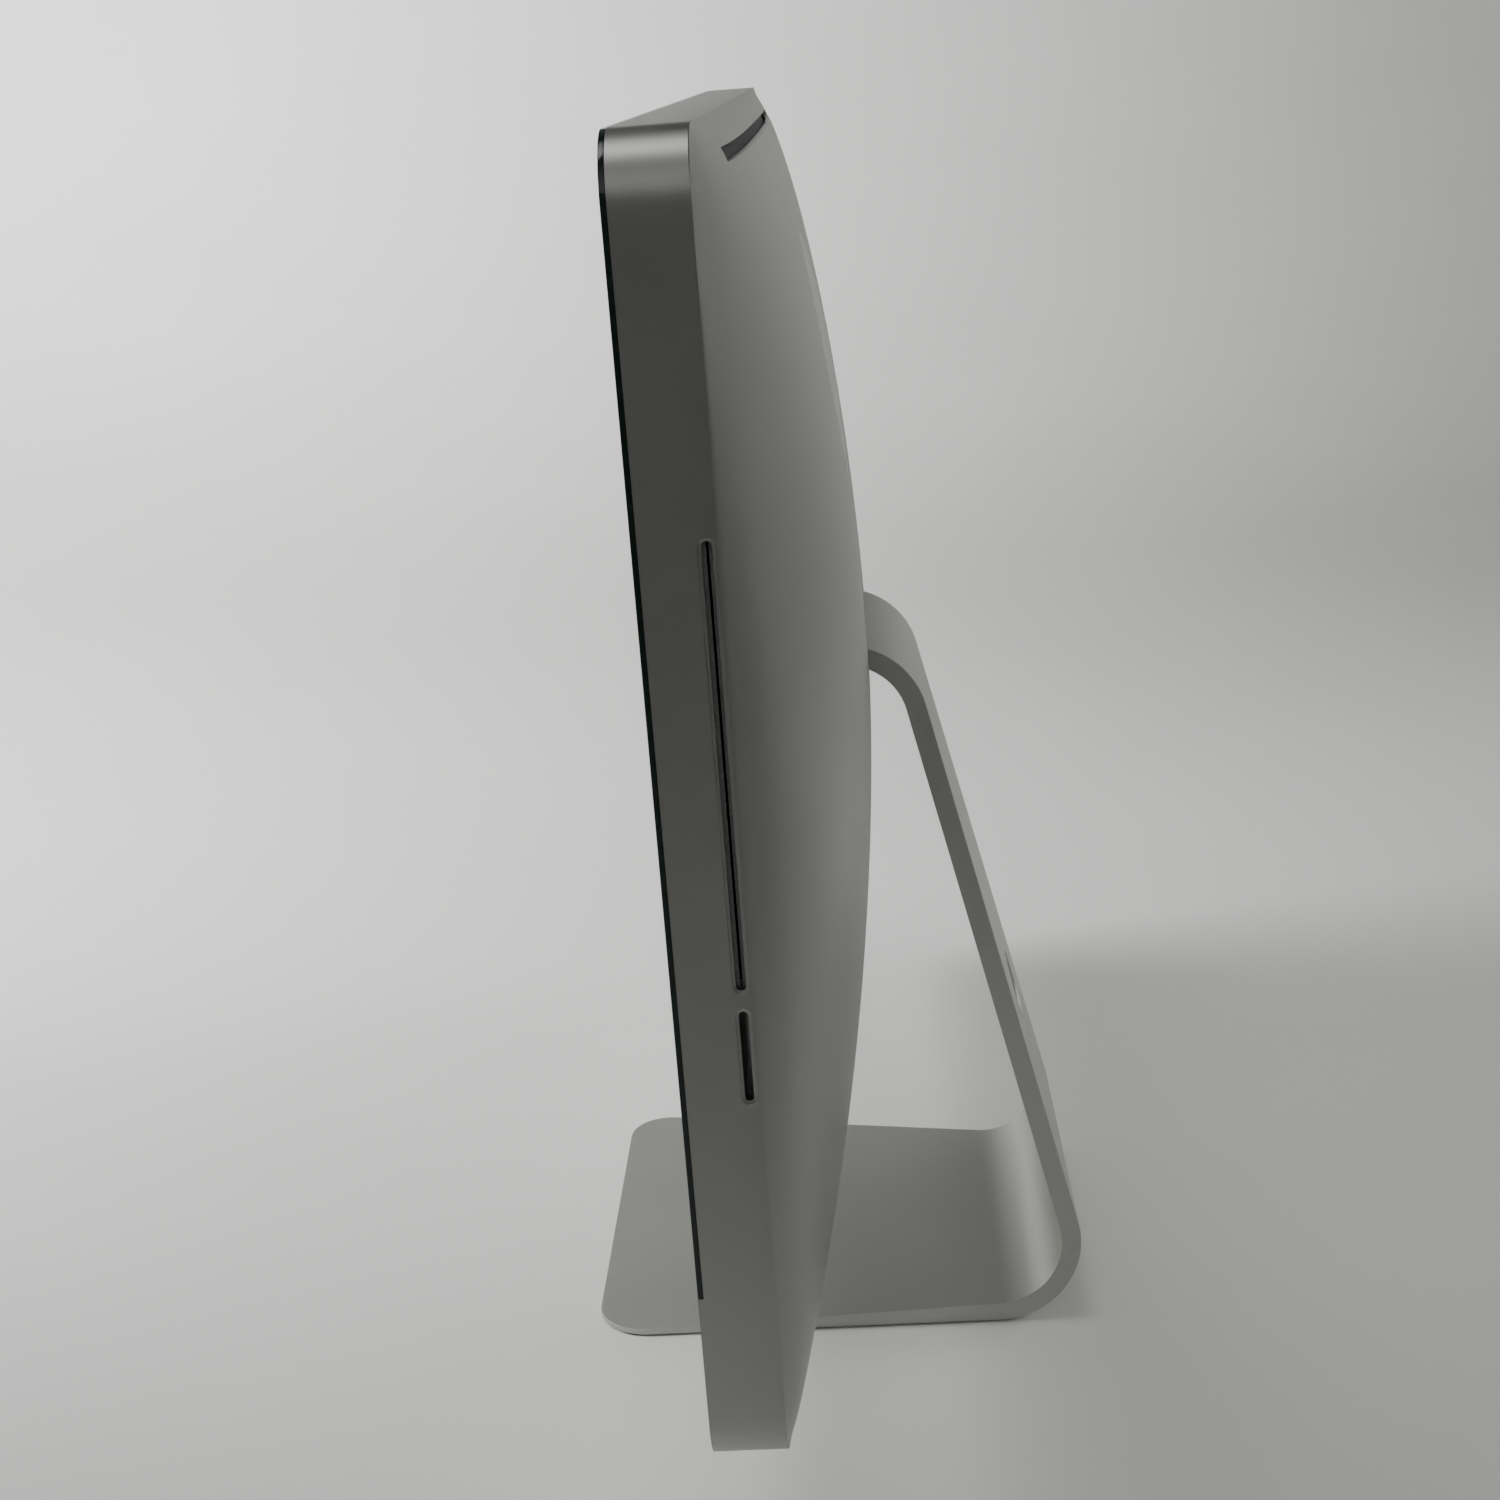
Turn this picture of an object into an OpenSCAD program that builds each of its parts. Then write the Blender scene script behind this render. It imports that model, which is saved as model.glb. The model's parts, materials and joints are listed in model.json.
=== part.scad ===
// All-in-one desktop computer: aluminium housing with a glass front, tilting on a bent plate stand.
// Units are millimetres. +X is right as the user faces the screen, -Y points out of the screen,
// +Z is up and the desk is z = 0. Display parts are drawn upright with y = 0 on the glass and
// z = 0 on the lower edge, then placed on the hinge by on_display().

/* [View] */
// which sub-part to draw

/* [Housing] */
// width of the housing
body_w = 528; // [480:1:680]
// height of the housing
body_h = 383; // [340:1:520]
// depth of the flat side band
band_d = 22.5; // [16:0.5:30]
// extra depth of the curved back at its deepest point
bulge = 37.4; // [20:0.1:50]
// outer corner radius
corner_r = 18.5; // [8:0.5:30]
// wall of the side band
band_wall = 3; // [2:0.25:5]
// skin of the curved back
skin_t = 2; // [1.5:0.25:4]
// height of the metal chin under the glass
chin_h = 60.5; // [40:0.5:80]
// glass thickness
glass_t = 1.7; // [1.2:0.1:3]
// air between neighbouring trim pieces
trim_gap = 0.15; // [0.05:0.05:0.5]

/* [Screen] */
// width of the lit area
screen_w = 476; // [420:1:600]
// height of the lit area
screen_h = 268; // [240:1:340]
// width of the display panel
panel_w = 495; // [440:1:620]
// height of the display panel
panel_h = 292; // [260:1:360]
// thickness of the display panel
panel_t = 11; // [8:0.5:16]

/* [Slots and window] */
// lower end of the disc slot
disc_z0 = 156; // [120:1:200]
// upper end of the disc slot
disc_z1 = 281; // [220:1:320]
// clear width of the disc slot
disc_gap = 2.7; // [2:0.1:4]
// lower end of the card slot
card_z0 = 122.6; // [90:0.1:140]
// upper end of the card slot
card_z1 = 149.7; // [120:0.1:170]
// clear width of the card slot
card_gap = 2.4; // [2:0.1:4]
// depth of both slots behind the glass
slot_y = 19.4; // [14:0.1:21]
// half length of the top vent
vent_x = 207; // [80:1:240]
// lower edge of the top vent
vent_z = 370.8; // [350:0.1:374]
// height of the top vent
vent_h = 3.9; // [2:0.1:8]
// radius of the antenna window
window_r = 45; // [25:1:60]
// height of the antenna window above the lower edge
window_z = 291.5; // [250:0.5:320]

/* [Stand] */
// depth of the foot, front to rear
foot_d = 186.3; // [160:1:240]
// width of the foot at its front
foot_w = 176.5; // [140:0.5:240]
// width of the plate where the bend starts
bend_w = 140.6; // [110:0.1:200]
// width of the neck
neck_w = 87.6; // [60:0.1:120]
// thickness of the upright plate
plate_t = 7.4; // [5:0.1:12]
// thickness of the foot at its front edge
toe_t = 1.6; // [1.2:0.1:4]
// outside radius of both bends
bend_r = 31; // [20:0.5:50]
// length of the straight upright
upright_l = 211.9; // [150:0.1:260]
// forward lean of the upright
upright_lean = 17.6; // [5:0.1:30]
// radius of the cable hole
hole_r = 14; // [8:0.5:20]
// distance of the cable hole above the lower bend
hole_s = 74; // [40:1:120]
// thickness of the foot pad
pad_t = 0.8; // [0.5:0.1:2]

/* [Hinge] */
// forward lean of the housing as drawn
rest_lean = 4.35; // [-25:0.05:5]
// hinge depth behind the glass
hinge_d = 37.6; // [30:0.1:45]
// hinge height above the lower edge
hinge_h = 188.3; // [150:0.1:220]
// radius of the hinge shaft
shaft_r = 5; // [3:0.5:7]
// radial play of the shaft
shaft_play = 0.03; // [0.01:0.01:0.1]

/* [Cooling] */
// clearance of every spinning part on its pin
pin_play = 0.05; // [0.02:0.01:0.1]
// radius of every fan pin
pin_r = 1.5; // [1:0.1:3]

/* [Hidden] */
$fn = 96;
half_w = body_w / 2;
half_h = body_h / 2;
peak = -0.055;
pow_x = 3.3;
pow_x2 = 0.66;
pow_z = 1.6;
pow_z2 = 0.55;
in_y = 16;
board_y = 27;
board_t = 1.6;
foot_y0 = -foot_d / 2;
bend_c = [foot_d / 2 - bend_r, pad_t + bend_r];
lean_n = [cos(upright_lean), sin(upright_lean)];
lean_u = [-sin(upright_lean), cos(upright_lean)];
top_c = bend_c + upright_l * lean_u;
hinge_y = top_c[0] - 14.15;
hinge_z = top_c[1] + bend_r - plate_t / 2;
button_pos = [-222, 36];
inlet_z = 60;
port_z = 47;
panel_z = chin_h + 15.5;
fan_list = [[0, 341, 22, 13], [165, 316, 24, 13], [165, 95, 30, 15]];

// ---------- shape of the curved back ----------

function corner_half(half, other, t) =
    half - corner_r + sqrt(max(0.000001, pow(corner_r, 2)
        - pow(min(max(abs(t) - (other - corner_r), 0), corner_r), 2)));
function skin(x, z) =
    let (u = min(1, abs(x) / corner_half(half_w, half_h, z - half_h)),
         w = (z - half_h) / corner_half(half_h, half_w, x),
         v = min(1, abs(w > peak ? (w - peak) / (1 - peak) : (w - peak) / (1 + peak))))
    band_d + bulge * pow(1 - pow(u, pow_x), pow_x2) * pow(1 - pow(v, pow_z), pow_z2);
function slope_x(x, z) = (skin(x + 0.5, z) - skin(x - 0.5, z));
function slope_z(x, z) = (skin(x, z + 0.5) - skin(x, z - 0.5));

arc_steps = 5;
long_steps = 20;
tall_steps = 14;
ring_count = 11;
function arc_pts(cx, cz, a0, inset) = [for (k = [0:arc_steps])
    [cx + (corner_r - inset) * cos(a0 + 90 * k / arc_steps),
     cz + (corner_r - inset) * sin(a0 + 90 * k / arc_steps)]];
function mid_pts(a, b, n) = [for (k = [1:n - 1]) a + (b - a) * k / n];
function outline(inset) =
    let (ax = half_w - corner_r, az = half_h - corner_r,
         c0 = arc_pts(ax, az, 0, inset), c1 = arc_pts(-ax, az, 90, inset),
         c2 = arc_pts(-ax, -az, 180, inset), c3 = arc_pts(ax, -az, 270, inset))
    concat(c0, mid_pts(c0[arc_steps], c1[0], long_steps), c1,
        mid_pts(c1[arc_steps], c2[0], tall_steps), c2,
        mid_pts(c2[arc_steps], c3[0], long_steps), c3,
        mid_pts(c3[arc_steps], c0[0], tall_steps));
function shrink(k) = 1 - pow(k / ring_count, 1.5);
function outer_ring(k) = [for (p = outline(0) * shrink(k)) [p[0], skin(p[0], p[1] + half_h), p[1] + half_h]];
function inner_ring(k) = [for (p = outline(band_wall + 0.4) * shrink(k))
    [p[0], max(band_d - 0.5, skin(p[0], p[1] + half_h) - skin_t), p[1] + half_h]];
function flat_ring(inset, y) = [for (p = outline(inset)) [p[0], y, p[1] + half_h]];

// closed shell of the curved back with a tongue that sits in the side band
module back_shell() {
    n = len(outline(0));
    rings = concat([for (k = [ring_count - 1:-1:0]) inner_ring(k)],
        [flat_ring(band_wall - 0.5, band_d - 1), flat_ring(0.9, band_d - 1), flat_ring(0.9, band_d),
            flat_ring(0.35, band_d)],
        [for (k = [1:ring_count - 1]) outer_ring(k)]);
    m = len(rings);
    pts = concat([for (r = rings) each r],
        [[0, skin(0, half_h) - skin_t, half_h], [0, skin(0, half_h), half_h]]);
    tris = [for (j = [0:m - 2]) for (i = [0:n - 1]) for (t = [0, 1])
        let (a = j * n + i, b = j * n + (i + 1) % n, c = a + n, d = b + n)
        t == 0 ? [a, d, c] : [a, b, d]];
    caps = [for (i = [0:n - 1]) for (t = [0, 1])
        t == 0 ? [m * n, (i + 1) % n, i] : [m * n + 1, (m - 1) * n + i, (m - 1) * n + (i + 1) % n]];
    polyhedron(points = pts, faces = concat(tris, caps));
}

// ---------- helpers ----------

module on_display() {
    translate([0, hinge_y, hinge_z]) rotate([rest_lean, 0, 0]) translate([0, -hinge_d, -hinge_h]) children();
}
// extrude a front-view outline between two depths
module deep(y0, y1) { translate([0, y1, 0]) rotate([90, 0, 0]) linear_extrude(y1 - y0) children(); }
// extrude a (depth, height) outline between two x positions
module across(x0, x1) { translate([x0, 0, 0]) rotate([90, 0, 90]) linear_extrude(x1 - x0) children(); }
module box(x, y, z) { translate([x[0], y[0], z[0]]) cube([x[1] - x[0], y[1] - y[0], z[1] - z[0]]); }
module rod(x, z, r, y0, y1) { translate([x, y0, z]) rotate([-90, 0, 0]) cylinder(r = r, h = y1 - y0); }
module xrod(y, z, r, x0, x1) { translate([x0, y, z]) rotate([0, 90, 0]) cylinder(r = r, h = x1 - x0); }
module round_rect(x, z, r) {
    translate([x[0] + r, z[0]]) square([x[1] - x[0] - 2 * r, z[1] - z[0]]);
    translate([x[0], z[0] + r]) square([x[1] - x[0], z[1] - z[0] - 2 * r]);
    for (i = [0, 1]) for (j = [0, 1])
        translate([x[i] + (i == 0 ? r : -r), z[j] + (j == 0 ? r : -r)]) circle(r = r);
}
module body_outline(inset) {
    round_rect([-half_w + inset, half_w - inset], [inset, body_h - inset], corner_r - inset);
}
// round-ended slot in the (depth, height) plane
module slot_2d(y, z0, z1, w) {
    translate([y - w / 2, z0 + w / 2]) square([w, z1 - z0 - w]);
    for (z = [z0 + w / 2, z1 - w / 2]) translate([y, z]) circle(r = w / 2);
}
module along_skin(x, z, y) {
    ax = asin(-slope_z(x, z) / norm([slope_x(x, z), 1, slope_z(x, z)]));
    az = atan(slope_x(x, z));
    translate([x, y, z]) rotate([0, 0, az]) rotate([ax, 0, 0]) children();
}

post_list = [[-205, 155, 28.6], [-120, 155, 28.6], [-10, 155, 28.6], [115, 155, 28.6],
    [-205, 75, 28.6], [-120, 75, 28.6], [-30, 85, 28.6], [115, 55, 28.6]];
rest_list = [[-205, 200, 33], [-95, 200, 33], [-205, 310, 33], [-95, 310, 33],
    [150, 170, 24.2], [235, 170, 24.2], [150, 270, 24.2], [235, 270, 24.2],
    [-82, 224, 42.1], [82, 224, 42.1], [-82, 302, 42.1], [82, 302, 42.1],
    [-25, 361, 29], [25, 361, 29],
    [143, 294, 29], [187, 294, 29], [143, 338, 29], [187, 338, 29],
    [137, 67, 31], [193, 67, 31], [137, 123, 31], [193, 123, 31]];
flange_list = [[-64, 178], [-64, 198], [64, 178], [64, 198]];
magnet_list = concat([for (x = [-210, -140, -70, 70, 140, 210]) [x, body_h - 8.5]], [for (z = [110, 190, 270, 340])
    for (s = [-1, 1]) [s * (half_w - 6.5), z]]);
data_x = [-92, -104, -116, -128];
audio_x = [-62, -76];
grille_rows = [8, 12, 16];

// ---------- housing ----------

module shell_cuts() {
    // disc slot and card slot with their shallow bevels
    across(half_w - band_wall - 1, half_w + 1) slot_2d(slot_y, disc_z0, disc_z1, disc_gap);
    across(half_w - 0.4, half_w + 1) slot_2d(slot_y, disc_z0 - 0.4, disc_z1 + 0.4, disc_gap + 0.8);
    across(half_w - band_wall - 1, half_w + 1) slot_2d(slot_y, card_z0, card_z1, card_gap);
    across(half_w - 0.4, half_w + 1) slot_2d(slot_y, card_z0 - 0.4, card_z1 + 0.4, card_gap + 0.8);
    // top vent
    box([-vent_x, vent_x], [band_d + 0.5, 50], [vent_z, vent_z + vent_h]);
    // neck opening
    deep(46, 66) round_rect([-45.4, 45.4], [hinge_h - 7.7, hinge_h + 15.6], 3);
    // antenna window
    deep(36, 66) translate([0, window_z]) circle(r = window_r);
    // mains inlet
    deep(30, 56) round_rect([-17.3, 17.3], [inlet_z - 12.3, inlet_z + 12.3], 5);
    // sockets
    deep(29, 50) {
        for (x = audio_x) translate([x, port_z]) circle(r = 3.4);
        for (x = data_x) translate([x - 3.1, port_z - 7]) square([6.2, 14]);
        translate([-147.6, port_z - 5]) square([7.2, 10]);
        translate([-163, port_z - 4.6]) square([6, 9.2]);
        translate([-188.2, port_z - 7.4]) square([16.4, 14.8]);
    }
    // power button
    along_skin(button_pos[0], button_pos[1], skin(button_pos[0], button_pos[1]))
        rod(0, 0, 7.75, -6, 8);
    // memory door opening, recess and screw holes
    box([-56, 56], [6.5, 17.5], [-1, 4]);
    box([-62, 62], [5, 19], [-1, 1.2]);
    for (x = [-59, 59]) translate([x, 12, -1]) cylinder(r = 1.2, h = 5);
    // grille slots in the lower wall
    for (s = [-1, 1]) translate([0, 0, -1]) linear_extrude(5) for (y = grille_rows) for (k = [0:11])
        translate([s * (83 + 14 * k) - 5, y - 0.9]) square([10, 1.8]);
}

module rear_housing() {
    color([0.72, 0.73, 0.72]) on_display() difference() {
        union() {
            back_shell();
            // side band
            deep(glass_t, band_d) difference() { body_outline(0); body_outline(band_wall); }
            // chin plate and the walls beside it
            deep(0, 2.6) intersection() {
                body_outline(0);
                translate([-half_w, 0]) square([body_w, chin_h]);
            }
            // ledge that carries the glass
            deep(glass_t, 4.4) difference() {
                body_outline(0.5);
                round_rect([-254, 254], [chin_h + 6, body_h - 12.5], 6);
                translate([-253, 3]) square([506, chin_h - 8]);
                translate([-24, body_h - 14]) square([48, 10]);
            }
            // posts that carry the inner units
            for (p = post_list) rod(p[0], p[1], 3.2, p[2], skin(p[0], p[1]) - 1);
            for (p = rest_list) rod(p[0], p[1], 3, p[2], skin(p[0], p[1]) - 1);
            for (p = flange_list) rod(p[0], p[1], 4.5, 51, skin(p[0], p[1]) - 1);
        }
        shell_cuts();
        for (p = post_list) rod(p[0], p[1], 1.25, p[2] - 0.1, p[2] + 4);
        for (p = flange_list) rod(p[0], p[1], 1.7, 50, 56);
        for (p = magnet_list) rod(p[0], p[1], 2.55, glass_t - 1, glass_t + 2);
    }
}

module front_glass() {
    color([0.02, 0.02, 0.02]) on_display() deep(0, glass_t) intersection() {
        body_outline(0.1);
        translate([-half_w, chin_h + trim_gap]) square([body_w, body_h]);
    }
}

module glass_magnets() {
    color([0.6, 0.6, 0.62]) on_display() for (p = magnet_list)
        rod(p[0], p[1], 2.5, glass_t + 0.1, glass_t + 2);
}

module antenna_window() {
    color([0.03, 0.03, 0.035]) on_display() intersection() {
        back_shell();
        deep(36, 66) translate([0, window_z]) circle(r = window_r - trim_gap);
    }
}

module vent_fins() {
    color([0.05, 0.05, 0.055]) on_display() translate([0, 0, vent_z - 3]) linear_extrude(8) {
        translate([-vent_x + 1, 18.5]) square([2 * vent_x - 2, 1.2]);
        for (x = [-vent_x + 3:9:vent_x - 3]) translate([x - 0.6, 19.5]) square([1.2, 5.4]);
    }
}

module slot_felt() {
    color([0.08, 0.08, 0.085]) on_display() for (s = [-1, 1])
        box([half_w - band_wall - 1.3, half_w - band_wall - 0.05],
            s < 0 ? [slot_y - 2.4, slot_y - 0.4] : [slot_y + 0.4, slot_y + 2.4], [disc_z0 - 1, disc_z1 + 1]);
}

// ---------- screen ----------

module lcd_panel() {
    color([0.55, 0.56, 0.57]) on_display() difference() {
        box([-panel_w / 2, panel_w / 2], [2.6, 2.6 + panel_t], [panel_z, panel_z + panel_h]);
        box([-screen_w / 2 - 0.2, screen_w / 2 + 0.2], [2, 3.4],
            [panel_z + 11.8, panel_z + screen_h + 12.2]);
        for (s = [-1, 1]) for (z = [30, 110, 190, 262])
            translate([s * (panel_w / 2 - 3), 8, panel_z + z]) rotate([0, 90, 0])
                cylinder(r = 1.25, h = 8, center = true);
    }
}

module lcd_screen() {
    color([0.015, 0.015, 0.018]) on_display()
        box([-screen_w / 2, screen_w / 2], [2.7, 3.35], [panel_z + 12, panel_z + screen_h + 12]);
}

module panel_brackets() {
    color([0.6, 0.6, 0.61]) on_display() for (s = [-1, 1]) difference() {
        union() {
            box(s > 0 ? [panel_w / 2 + 0.05, panel_w / 2 + 1.25] : [-panel_w / 2 - 1.25, -panel_w / 2 - 0.05],
                [4.5, 12], [panel_z + 20, panel_z + 272]);
            box(s > 0 ? [panel_w / 2 + 0.05, half_w - 4] : [-half_w + 4, -panel_w / 2 - 0.05],
                [4.45, 5.6], [panel_z + 20, panel_z + 272]);
        }
        for (z = [30, 110, 190, 262]) translate([s * panel_w / 2, 8, panel_z + z]) rotate([0, 90, 0])
            cylinder(r = 1.35, h = 8, center = true);
    }
}

module panel_screws() {
    color([0.3, 0.3, 0.31]) on_display() for (s = [-1, 1]) for (z = [30, 110, 190, 262])
        translate([s * (panel_w / 2 - 3), 8, panel_z + z]) rotate([0, s * 90, 0]) {
            cylinder(r = 1.2, h = 5);
            translate([0, 0, 4.3]) cylinder(r = 2.3, h = 1.2);
        }
}

module camera_board() {
    color([0.05, 0.2, 0.09]) on_display() difference() {
        box([-20, 20], [3.2, 5], [body_h - 13.3, body_h - 5.3]);
        rod(0, body_h - 9.3, 2.05, 3, 6);
    }
}

module camera_lens() {
    color([0.02, 0.02, 0.03]) on_display() rod(0, body_h - 9.3, 2, glass_t + 0.3, 4.8);
}

// ---------- storage ----------

module optical_drive() {
    color([0.6, 0.61, 0.62]) on_display() {
        difference() {
            box([131, 259], [14.8, 24.2], [154.5, 282.5]);
            box([132, 258], [15.8, 23.2], [155.5, 281.5]);
            box([257, 260], [slot_y - 1.6, slot_y + 1.6], [157, 280]);
        }
        rod(190, 218.5, pin_r, 15.7, 21);
        difference() {
            rod(190, 218.5, 11, 21, 23.3);
            rod(190, 218.5, 6, 20.5, 22);
        }
    }
}

module drive_spindle() {
    color([0.1, 0.1, 0.11]) on_display() difference() {
        union() { rod(190, 218.5, 7.4, 16.2, 20.6); rod(190, 218.5, 13, 19.8, 20.6); }
        rod(190, 218.5, pin_r + pin_play, 16, 21);
    }
}

module card_reader() {
    color([0.55, 0.56, 0.57]) on_display() difference() {
        box([230, 260.6], [slot_y - 2.6, slot_y + 2.6], [card_z0 - 1.6, card_z1 + 1.6]);
        box([236, 262], [slot_y - 1.3, slot_y + 1.3], [card_z0, card_z1]);
    }
}

module hard_drive() {
    color([0.5, 0.51, 0.53]) on_display() difference() {
        union() {
            box([-73.5, 73.5], [in_y, 42.1], [214, 315.6]);
            rod(22, 264, 40, 15.2, in_y + 0.2);
        }
        rod(22, 264, 12, 15, 15.7);
    }
}

module hdd_brackets() {
    color([0.65, 0.65, 0.66]) on_display() for (s = [-1, 1]) {
        box(s > 0 ? [73.55, 75] : [-75, -73.55], [30, 42.05], [218, 308]);
        box(s > 0 ? [74, 87] : [-87, -74], [40.8, 42.05], [218, 308]);
    }
}

module power_supply() {
    color([0.5, 0.51, 0.52]) on_display() difference() {
        union() {
            box([-215, -85], [30.8, 32.95], [190, 320]);
            box([-209, -91], [in_y, 31], [193, 317]);
        }
        deep(in_y - 1, in_y + 1) for (x = [-200:12:-104]) for (z = [202:12:306])
            translate([x, z]) square([6, 6]);
    }
}

// ---------- electronics ----------

module logic_board() {
    color([0.03, 0.16, 0.07]) on_display() difference() {
        union() {
            difference() {
                box([-215, 125], [board_y, board_y + board_t], [40, 165]);
                box([-20, 20], [board_y - 1, board_y + 3], [39, 74]);
            }
            for (p = [[65, 128, 19], [-65, 130, 15]])
                box([p[0] - p[2], p[0] + p[2]], [board_y - 2.4, board_y + 0.1], [p[1] - p[2], p[1] + p[2]]);
            for (x = [-200:16:-140]) rod(x, 92, 4, 17.5, board_y + 0.1);
            for (x = [-20, -8, 4]) box([x, x + 8], [22, board_y + 0.1], [120, 128]);
            box([85, 110], [20, board_y + 0.1], [48, 56]);
        }
        for (p = post_list) rod(p[0], p[1], 1.35, board_y - 1, board_y + 3);
    }
}

module board_screws() {
    color([0.35, 0.35, 0.36]) on_display() for (p = post_list) {
        rod(p[0], p[1], 1.2, board_y - 0.5, board_y + 5);
        rod(p[0], p[1], 2.4, board_y - 1.6, board_y - 0.02);
    }
}

module finned_block(cx, cz, w, h) {
    box([cx - w / 2, cx + w / 2], [22.6, board_y - 2.45], [cz - h / 2, cz + h / 2]);
    deep(15.2, 22.7) for (x = [cx - w / 2:5:cx + w / 2 - 1]) translate([x, cz - h / 2]) square([1.2, h]);
}

module cpu_heatsink() { color([0.62, 0.63, 0.64]) on_display() finned_block(65, 128, 85, 60); }

module gpu_heatsink() { color([0.7, 0.42, 0.26]) on_display() finned_block(-65, 130, 60, 44); }

module memory_slot() {
    color([0.12, 0.12, 0.13]) on_display() difference() {
        box([-37, 37], [6, board_y - 0.05], [38, 47]);
        for (y = [8.5, 14]) box([-34, 34], [y - 0.15, y + 1.35], [37, 43]);
    }
}

module memory_modules() {
    color([0.04, 0.22, 0.1]) on_display() for (y = [8.5, 14]) {
        box([-33.8, 33.8], [y, y + 1.2], [13, 42.8]);
        for (k = [0:3]) box([-31 + 16 * k, -19 + 16 * k], [y - 1, y + 0.1], [18, 34]);
    }
}

module memory_door() {
    color([0.7, 0.71, 0.7]) on_display() difference() {
        box([-61.8, 61.8], [5.2, 18.8], [0.05, 1.15]);
        for (x = [-59, 59]) translate([x, 12, -1]) cylinder(r = 1.3, h = 5);
    }
}

module door_screws() {
    color([0.35, 0.35, 0.36]) on_display() for (x = [-59, 59]) translate([x, 12, 0]) {
        translate([0, 0, -0.75]) cylinder(r = 2.3, h = 0.78);
        cylinder(r = 1.15, h = 3.6);
    }
}

module wireless_card() {
    color([0.05, 0.1, 0.3]) on_display() {
        box([-195, -165], [board_y - 2.2, board_y - 0.05], [108, 150]);
        for (x = [-188, -180, -172]) rod(x, 145, 1.6, board_y - 4, board_y - 2.1);
    }
}

module speaker(s) {
    a = s > 0 ? [150, 245] : [-245, -150];
    c = s * 205;
    difference() {
        box(a, [4.6, 20], [3.05, 38]);
        box([a[0] + 1.5, a[1] - 1.5], [6, 18.6], [5.4, 36.5]);
        for (x = [c - 25, c + 25]) translate([x, 12.3, 2]) cylinder(r = 5.8, h = 4);
    }
    for (x = [c - 25, c + 25]) translate([x, 12.3, 3.4]) difference() {
        cylinder(r = 6.1, h = 2.2);
        translate([0, 0, -1]) cylinder(r = 2.6, h = 2);
    }
}

module speaker_left() { color([0.1, 0.1, 0.11]) on_display() speaker(-1); }

module speaker_right() { color([0.1, 0.1, 0.11]) on_display() speaker(1); }

// ---------- fans ----------

module fan_frame(f) {
    e = f[2] + 3;
    y0 = in_y;
    y1 = in_y + f[3];
    difference() {
        deep(y0, y1) round_rect([f[0] - e, f[0] + e], [f[1] - e, f[1] + e], 4);
        rod(f[0], f[1], f[2], y0 - 1, y1 + 1);
    }
    for (a = [45:90:315]) translate([f[0], y1 - 1, f[1]]) rotate([0, a, 0])
        translate([0, -0.6, -1.5]) cube([f[2] + 1, 1.6, 3]);
    rod(f[0], f[1], 6, y1 - 1.6, y1);
    rod(f[0], f[1], pin_r, y0 + 1.75, y1 - 1);
}

module fan_impeller(f) {
    y0 = in_y + 0.8;
    y1 = in_y + f[3] - 2.2;
    difference() {
        union() {
            rod(f[0], f[1], f[2] * 0.4, y0, y1);
            for (k = [0:8]) translate([f[0], y0 + 1, f[1]]) rotate([0, k * 40, 0])
                translate([f[2] * 0.36, 0, -2]) rotate([-58, 0, 0])
                    translate([0, -0.5, 0]) cube([f[2] * 0.56, 1, (y1 - y0) * 0.9]);
        }
        rod(f[0], f[1], pin_r + pin_play, y0 + 0.8, y1 + 1);
    }
}

module hdd_fan_frame() { color([0.08, 0.08, 0.085]) on_display() fan_frame(fan_list[0]); }
module odd_fan_frame() { color([0.08, 0.08, 0.085]) on_display() fan_frame(fan_list[1]); }
module cpu_fan_frame() { color([0.08, 0.08, 0.085]) on_display() fan_frame(fan_list[2]); }
module hdd_impeller() { color([0.14, 0.14, 0.15]) on_display() fan_impeller(fan_list[0]); }
module odd_impeller() { color([0.14, 0.14, 0.15]) on_display() fan_impeller(fan_list[1]); }
module cpu_impeller() { color([0.14, 0.14, 0.15]) on_display() fan_impeller(fan_list[2]); }

// ---------- sockets ----------

// socket that stands on the board and ends just under the curved back
module socket(x, w, h, wall, tongue) {
    y1 = min(skin(x - w / 2, port_z - h / 2), skin(x + w / 2, port_z - h / 2)) - 0.6;
    difference() {
        box([x - w / 2, x + w / 2], [board_y + board_t + 0.02, y1], [port_z - h / 2, port_z + h / 2]);
        box([x - w / 2 + wall, x + w / 2 - wall], [board_y + board_t + 1.2, y1 + 1],
            [port_z - h / 2 + wall, port_z + h / 2 - wall]);
    }
    if (tongue > 0) box([x - tongue / 2, x + tongue / 2], [board_y + board_t + 1, y1 - 1.5],
        [port_z - h / 2 + wall + 0.8, port_z + h / 2 - wall - 0.8]);
}

module audio_jacks() {
    color([0.1, 0.1, 0.11]) on_display() for (x = audio_x) difference() {
        rod(x, port_z, 3.2, board_y + board_t + 0.02, skin(x, port_z - 3) - 0.6);
        rod(x, port_z, 1.75, board_y + board_t + 1.2, 60);
    }
}
module data_ports() { color([0.7, 0.7, 0.71]) on_display() for (x = data_x) socket(x, 5.8, 13.6, 0.4, 1.8); }
module bus_port() { color([0.7, 0.7, 0.71]) on_display() socket(-144, 6.8, 9.6, 0.4, 2.4); }
module video_port() { color([0.7, 0.7, 0.71]) on_display() socket(-160, 5.6, 8.8, 0.4, 1.6); }
module network_port() { color([0.6, 0.6, 0.62]) on_display() socket(-180, 16, 14.4, 1.6, 0); }

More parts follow.
